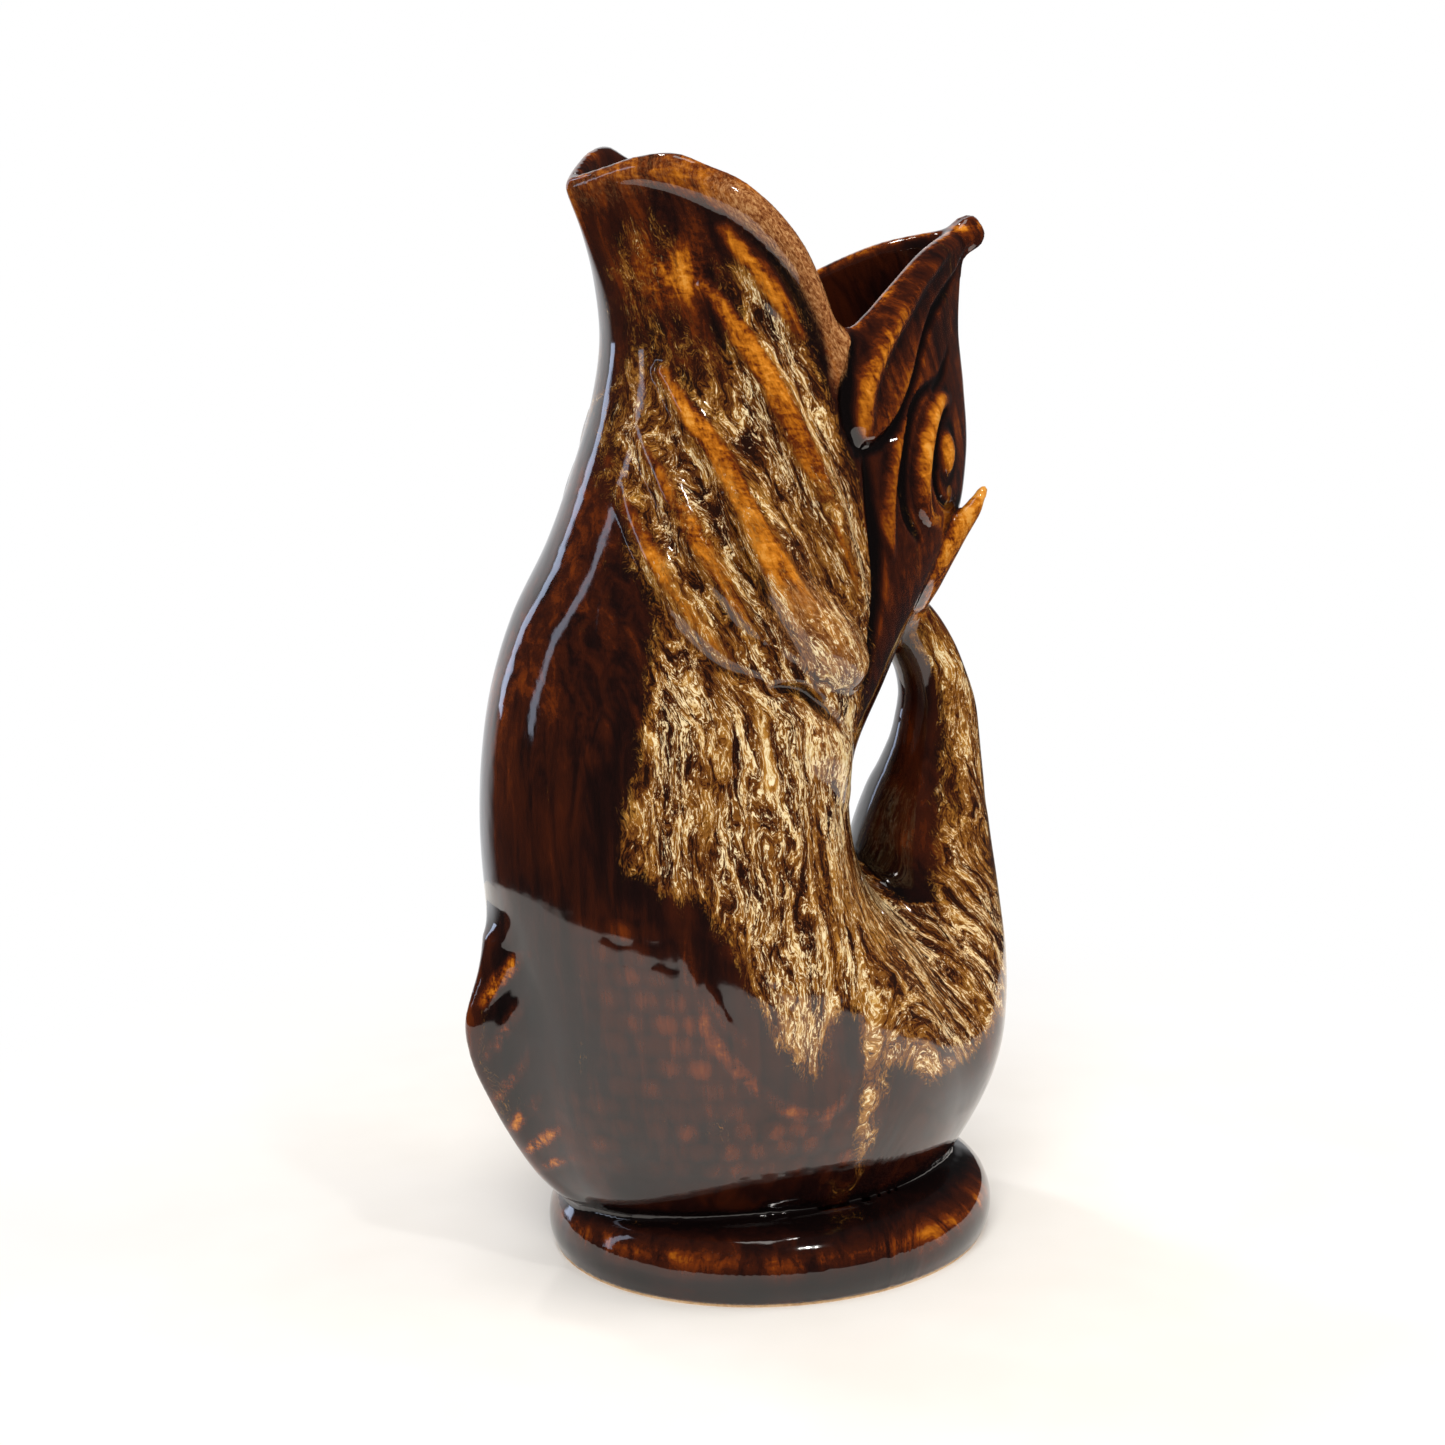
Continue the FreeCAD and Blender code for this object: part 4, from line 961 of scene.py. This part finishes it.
def glaze_material():
    """Treacle glaze with a cream run, led by the attributes of the pieces' vertices."""
    material = bpy.data.materials.new("treacle_glaze_run")
    t = Tree(material)
    flow_vector = t.attribute("flow", "Vector")
    stands = t.attribute("stands_out")
    cream_mask = t.attribute("cream")
    amber_more = t.attribute("amber")

    # Treacle brown: dark where the glaze pools, amber where it runs thin over the relief.
    streak_part = t.less(t.layer(flow_vector, STREAK), MIDDLE)
    cloud_part = t.less(t.layer(flow_vector, CLOUD), MIDDLE)
    grain = t.layer(flow_vector, GRAIN)
    thin = t.more(stands, 0.105, 0.19)
    thin = t.more(t.attribute("stands_fine"), 0.20, thin)
    thin = t.more(streak_part, 0.50, thin)
    thin = t.more(cloud_part, 0.60, thin)
    thin = t.more(t.less(grain, MIDDLE), t.more(amber_more, 0.36, 0.07), thin)
    thin = t.more(t.attribute("scales"), 0.22, thin)
    ring_part = t.math("ADD", t.less(t.layer(flow_vector, RINGS), MIDDLE), streak_part)
    thin = t.more(t.times(ring_part, amber_more), 0.60, thin)
    thin = t.more(amber_more, 0.25, thin)
    thin = t.math("MINIMUM", t.math("MAXIMUM", thin, 0.0), 0.90)
    brown = t.ramp(thin, TREACLE)

    # The cream run: curling threads that follow the flow, over gold and dark brown.
    bent = flow_vector
    for stretch, scale, detail, reach in BENDS:
        wander = t.noise(t.scaled(flow_vector, stretch), scale, detail, output="Color")
        bent = t.added(bent, t.scaled(wander, reach))
    ridge = t.math("ABSOLUTE", t.less(t.layer(bent, THREADS), MIDDLE))
    lace = t.math("SUBTRACT", 1.0, t.times(ridge, 10.0), clamp=True)
    flecks = t.layer(bent, FLECKS)
    fleck_part = t.less(flecks, MIDDLE)
    tone = t.layer(bent, TONE)
    amount = t.more(t.less(t.layer(bent, PATCHES), MIDDLE), 1.5, cream_mask)
    # Painted shade: the gold and cream turn darker in the hollows between the raised rays and lighter on
    # top of them.
    relief_shade = t.math("MINIMUM", stands, 1.0)
    gold_share = t.smoothstep(t.more(fleck_part, 1.4, amount), 0.36, 0.84)
    gold_tone = t.more(fleck_part, 0.45, t.more(relief_shade, 0.050, tone))
    gold_tone = t.more(lace, 0.07, gold_tone)
    coloured = t.mix(gold_share, brown, t.ramp(gold_tone, GOLD))
    tan_tone = t.more(fleck_part, 0.8, t.more(grain, 0.6, 0.2))
    tan_share = t.smoothstep(t.more(fleck_part, 0.5, t.attribute("tan")), 0.08, 0.90)
    coloured = t.mix(tan_share, coloured, t.ramp(tan_tone, TAN))
    cream_value = t.more(fleck_part, 1.3, t.times(lace, 0.42))
    cream_value = t.more(t.less(tone, MIDDLE), 1.5, cream_value)
    cream_value = t.more(t.less(amount, 0.9), 0.62, cream_value)
    cream_value = t.more(relief_shade, 0.070, cream_value)
    cream_share = t.smoothstep(cream_value, 0.37, 0.56)
    cream_share = t.times(cream_share, t.smoothstep(amount, 0.16, 0.58))
    cream_share = t.times(cream_share, t.smoothstep(cream_mask, 0.03, 0.20))
    coloured = t.mix(cream_share, coloured, t.ramp(flecks, CREAM))

    # Gloss: a smooth wavy glaze over the clay, a little duller on the cream.
    lift = t.more(cream_share, 0.05, t.times(t.layer(flow_vector, WAVE), 0.9))
    lift = t.more(grain, 0.010, lift)
    bump = t.add("Bump", Height=lift, Strength=0.32, Distance=0.001)
    rough = t.more(cream_share, 0.07, t.more(grain, 0.04, 0.045))
    shader = t.add("BsdfPrincipled", Base_Color=coloured, Roughness=rough, IOR=1.52,
                   Coat_Weight=0.35, Coat_Roughness=0.03, Normal=bump.outputs["Normal"])
    t.add("OutputMaterial", Surface=shader.outputs[0])
    return material


def clay_material():
    """Bare fired clay, matt and grainy."""
    material = bpy.data.materials.new("bare_clay_matt")
    t = Tree(material)
    where = t.add("TexCoord").outputs["Object"]
    speck = t.noise(where, 900.0, 4.0, 0.7)
    broad = t.noise(where, 60.0, 3.0)
    colour = t.ramp(t.more(broad, 0.5, t.times(speck, 0.5)), BARE_CLAY)
    bump = t.add("Bump", Height=speck, Strength=0.5, Distance=0.0003)
    shader = t.add("BsdfPrincipled", Base_Color=colour, Roughness=t.more(speck, 0.2, 0.72),
                   Normal=bump.outputs["Normal"])
    t.add("OutputMaterial", Surface=shader.outputs[0])
    return material


glaze = glaze_material()
clay = clay_material()

# Where the glaze runs thin and shows amber: raised forms, the rim, the foot's bead, the lobes. The rays'
# flanks lose amber as painted shade, and the mouth's back edge gets a painted highlight line.
# Painted shade on the flanks beside each ray's crest, taken off the amber.
wide_flank = share_of(strokes(PECTORAL_RAYS, 0.6, 1.25), 1.5)
flank_shade = np.clip(wide_flank - share_of(strokes(PECTORAL_RAYS, 0.8, 0.8), 1.5), 0, 1)
amber = share_of(strokes(PECTORAL_RAYS, 1.3, 0.66), 2.6) * 1.10 - 0.45 * flank_shade
amber += 0.20 * share_of(roll, 2.0) + 0.45 * share_of(gill, 1.5) + 0.5 * share_of(side_fin, 1.2)
amber += 0.9 * share_of(stroke(LIP_ROLL[0][:3], 1.0), 1.2)
amber += 0.75 * share_of(eye_ring, 1.8) + 0.80 * share_of(pupil, 1.0)
amber -= hump(pupil_away, 1.35, 0.25) * (eye_ring < 0.4)
amber += 0.7 * share_of(leaf_crest, 2.0) * fall(216, 236, at_z)
amber += 0.35 * leaf * fall(204, 224, at_z)
amber += 0.32 * step(-44, -38, at_x) * fall(-20, -10, at_x) * step(190, 204, at_z) * outer
amber += 0.30 * step(4, 12, at_x) * step(140, 165, at_z) * outer
amber += 0.25 * fall(-48, -40, at_x) * step(112, 140, at_z) * outer
amber += 1.1 * hump(at_z, 234, 7) * hump(at_x, -33, 6) * outer
amber += 0.50 * rim_band * np.maximum(outer, fall(-42, -36, at_x))
# Thin glaze at the cut edge of the mouth's back part, made brighter still as a painted highlight line.
amber += 0.9 * hump(at_mouth, 0, 0.8) * step(-8, 0, at_x)
amber += 0.6 * hump(at_z, 11.2, 1.8) * (at_foot < 1.0) * outer
amber += 1.5 * share_of(fin_rays, 0.8) + fall(0.2, 2, at_fluke)
# Where it pools and stays dark: grooves, the foot's lower edge and the turn above the foot.
amber -= 0.6 * share_of(creases, 1.2) + 0.8 * share_of(leaf_groove, 1.2) + 1.2 * share_of(eye_grooves, 1.0)
amber -= 0.8 * fall(5, 8.5, at_z) * (at_foot < 1.0) * outer
amber -= 0.8 * fall(0, 3, np.abs(at_z - 17.5)) * outer

LAYERS = {"stands_out": stands_out, "stands_fine": stands_fine, "cream": cream, "scales": scales,
          "amber": amber, "tan": tan}


def add_object(name, data):
    """A new object in the scene."""
    made = bpy.data.objects.new(name, data)
    bpy.context.scene.collection.objects.link(made)
    return made


def make_piece(name, faces):
    """Mesh object of some faces of the whole skin, with the whole skin's own normals."""
    used, local = np.unique(faces, return_inverse=True)
    local = local.reshape(faces.shape)
    mesh = bpy.data.meshes.new(name)
    mesh.vertices.add(len(used))
    mesh.vertices.foreach_set("co", (place[used] * MM).astype(np.float32).ravel())
    mesh.loops.add(local.size)
    mesh.loops.foreach_set("vertex_index", local.astype(np.int32).ravel())
    mesh.polygons.add(len(local))
    mesh.polygons.foreach_set("loop_start", np.arange(0, local.size, 4, dtype=np.int32))
    mesh.polygons.foreach_set("use_smooth", np.ones(len(local), dtype=bool))
    mesh.update(calc_edges=True)
    mesh.validate()
    for key, values in LAYERS.items():
        layer = mesh.attributes.new(key, "FLOAT", "POINT")
        layer.data.foreach_set("value", values[used].astype(np.float32))
    layer = mesh.attributes.new("flow", "FLOAT_VECTOR", "POINT")
    layer.data.foreach_set("vector", flow[used].astype(np.float32).ravel())
    mesh.normals_split_custom_set_from_vertices(normals[used].astype(np.float32))
    mesh.materials.append(glaze)
    return add_object(name, mesh)


for node in sorted(set(label)):
    piece = make_piece(node + "_skin", quads[label == node])
    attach(piece, "root")
    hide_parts(node)

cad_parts["foot_bare_rim"].material_slots[0].material = clay

# The floor: a pale disc that fades to white towards its edge, as the camera sees it.
ring = []
for number in range(FLOOR_CORNERS):
    turn = math.tau * number / FLOOR_CORNERS
    ring.append((FLOOR_RADIUS * math.cos(turn), FLOOR_RADIUS * math.sin(turn), 0))
floor_mesh = bpy.data.meshes.new("floor")
floor_mesh.from_pydata(ring, [], [tuple(range(FLOOR_CORNERS))])
floor = add_object("floor", floor_mesh)
floor_material = bpy.data.materials.new("pale_floor")
t = Tree(floor_material)
where = t.add("TexCoord").outputs["Object"]
far = t.smoothstep(t.vector_math("LENGTH", where).outputs["Value"], *FLOOR_FADE)
floor_colour = t.ramp(t.noise(where, 14.0, 3.0, 0.6), FLOOR)
diffuse = t.add("BsdfPrincipled", Base_Color=floor_colour, Roughness=0.55, Specular_IOR_Level=0.2)
glow = t.add("Emission", Color=(1, 1, 1, 1), Strength=1.0)
camera_ray = t.add("LightPath").outputs["Is Camera Ray"]
mixed = t.mix_shaders(t.times(far, camera_ray), diffuse.outputs[0], glow.outputs[0])
t.add("OutputMaterial", Surface=mixed)
floor_mesh.materials.append(floor_material)

# The room: soft light all round. Gloss shows the white backdrop and a dim room elsewhere.
world = bpy.data.worlds.new("studio")
bpy.context.scene.world = world
t = Tree(world)
path = t.add("LightPath")
soft = t.add("Background", Color=(1.0, 0.98, 0.95, 1), Strength=0.55)
white = t.add("Background", Color=(1, 1, 1, 1), Strength=1.0)
heading = t.add("TexCoord").outputs["Generated"]
toward = t.vector_math("DOT_PRODUCT", heading, BACKDROP_WAY).outputs["Value"]
room = t.add("Background", Color=(0.97, 0.98, 1.0, 1),
             Strength=t.smoothstep(toward, 0.74, 0.88, 0.035, 0.85))
lit = t.mix_shaders(path.outputs["Is Glossy Ray"], soft.outputs[0], room.outputs[0])
seen = t.mix_shaders(path.outputs["Is Camera Ray"], lit, white.outputs[0])
t.add("OutputWorld", Surface=seen)

for name, lamp_place, target, width, height, power, colour, in_gloss in LAMPS:
    data = bpy.data.lights.new(name, "AREA")
    data.shape = "RECTANGLE"
    data.size = width
    data.size_y = height
    data.energy = power
    data.color = colour
    lamp = add_object(name, data)
    lamp.location = lamp_place
    lamp.rotation_euler = (Vector(target) - Vector(lamp_place)).to_track_quat("-Z", "Y").to_euler()
    lamp.visible_glossy = in_gloss

camera_data = bpy.data.cameras.new("photo_view")
camera_data.sensor_fit = "HORIZONTAL"
camera_data.sensor_width = SENSOR_WIDTH
camera_data.lens = FOCAL_PIXELS / PHOTO_PIXELS * SENSOR_WIDTH
camera_data.clip_start = 0.01
camera_data.clip_end = 50.0
camera_data.dof.use_dof = False
camera = add_object("photo_view", camera_data)
camera.location = CAMERA_PLACE
camera.rotation_euler = Vector(CAMERA_WAY).to_track_quat("-Z", "Y").to_euler()
bpy.context.scene.camera = camera
bpy.context.scene.view_settings.view_transform = "Standard"
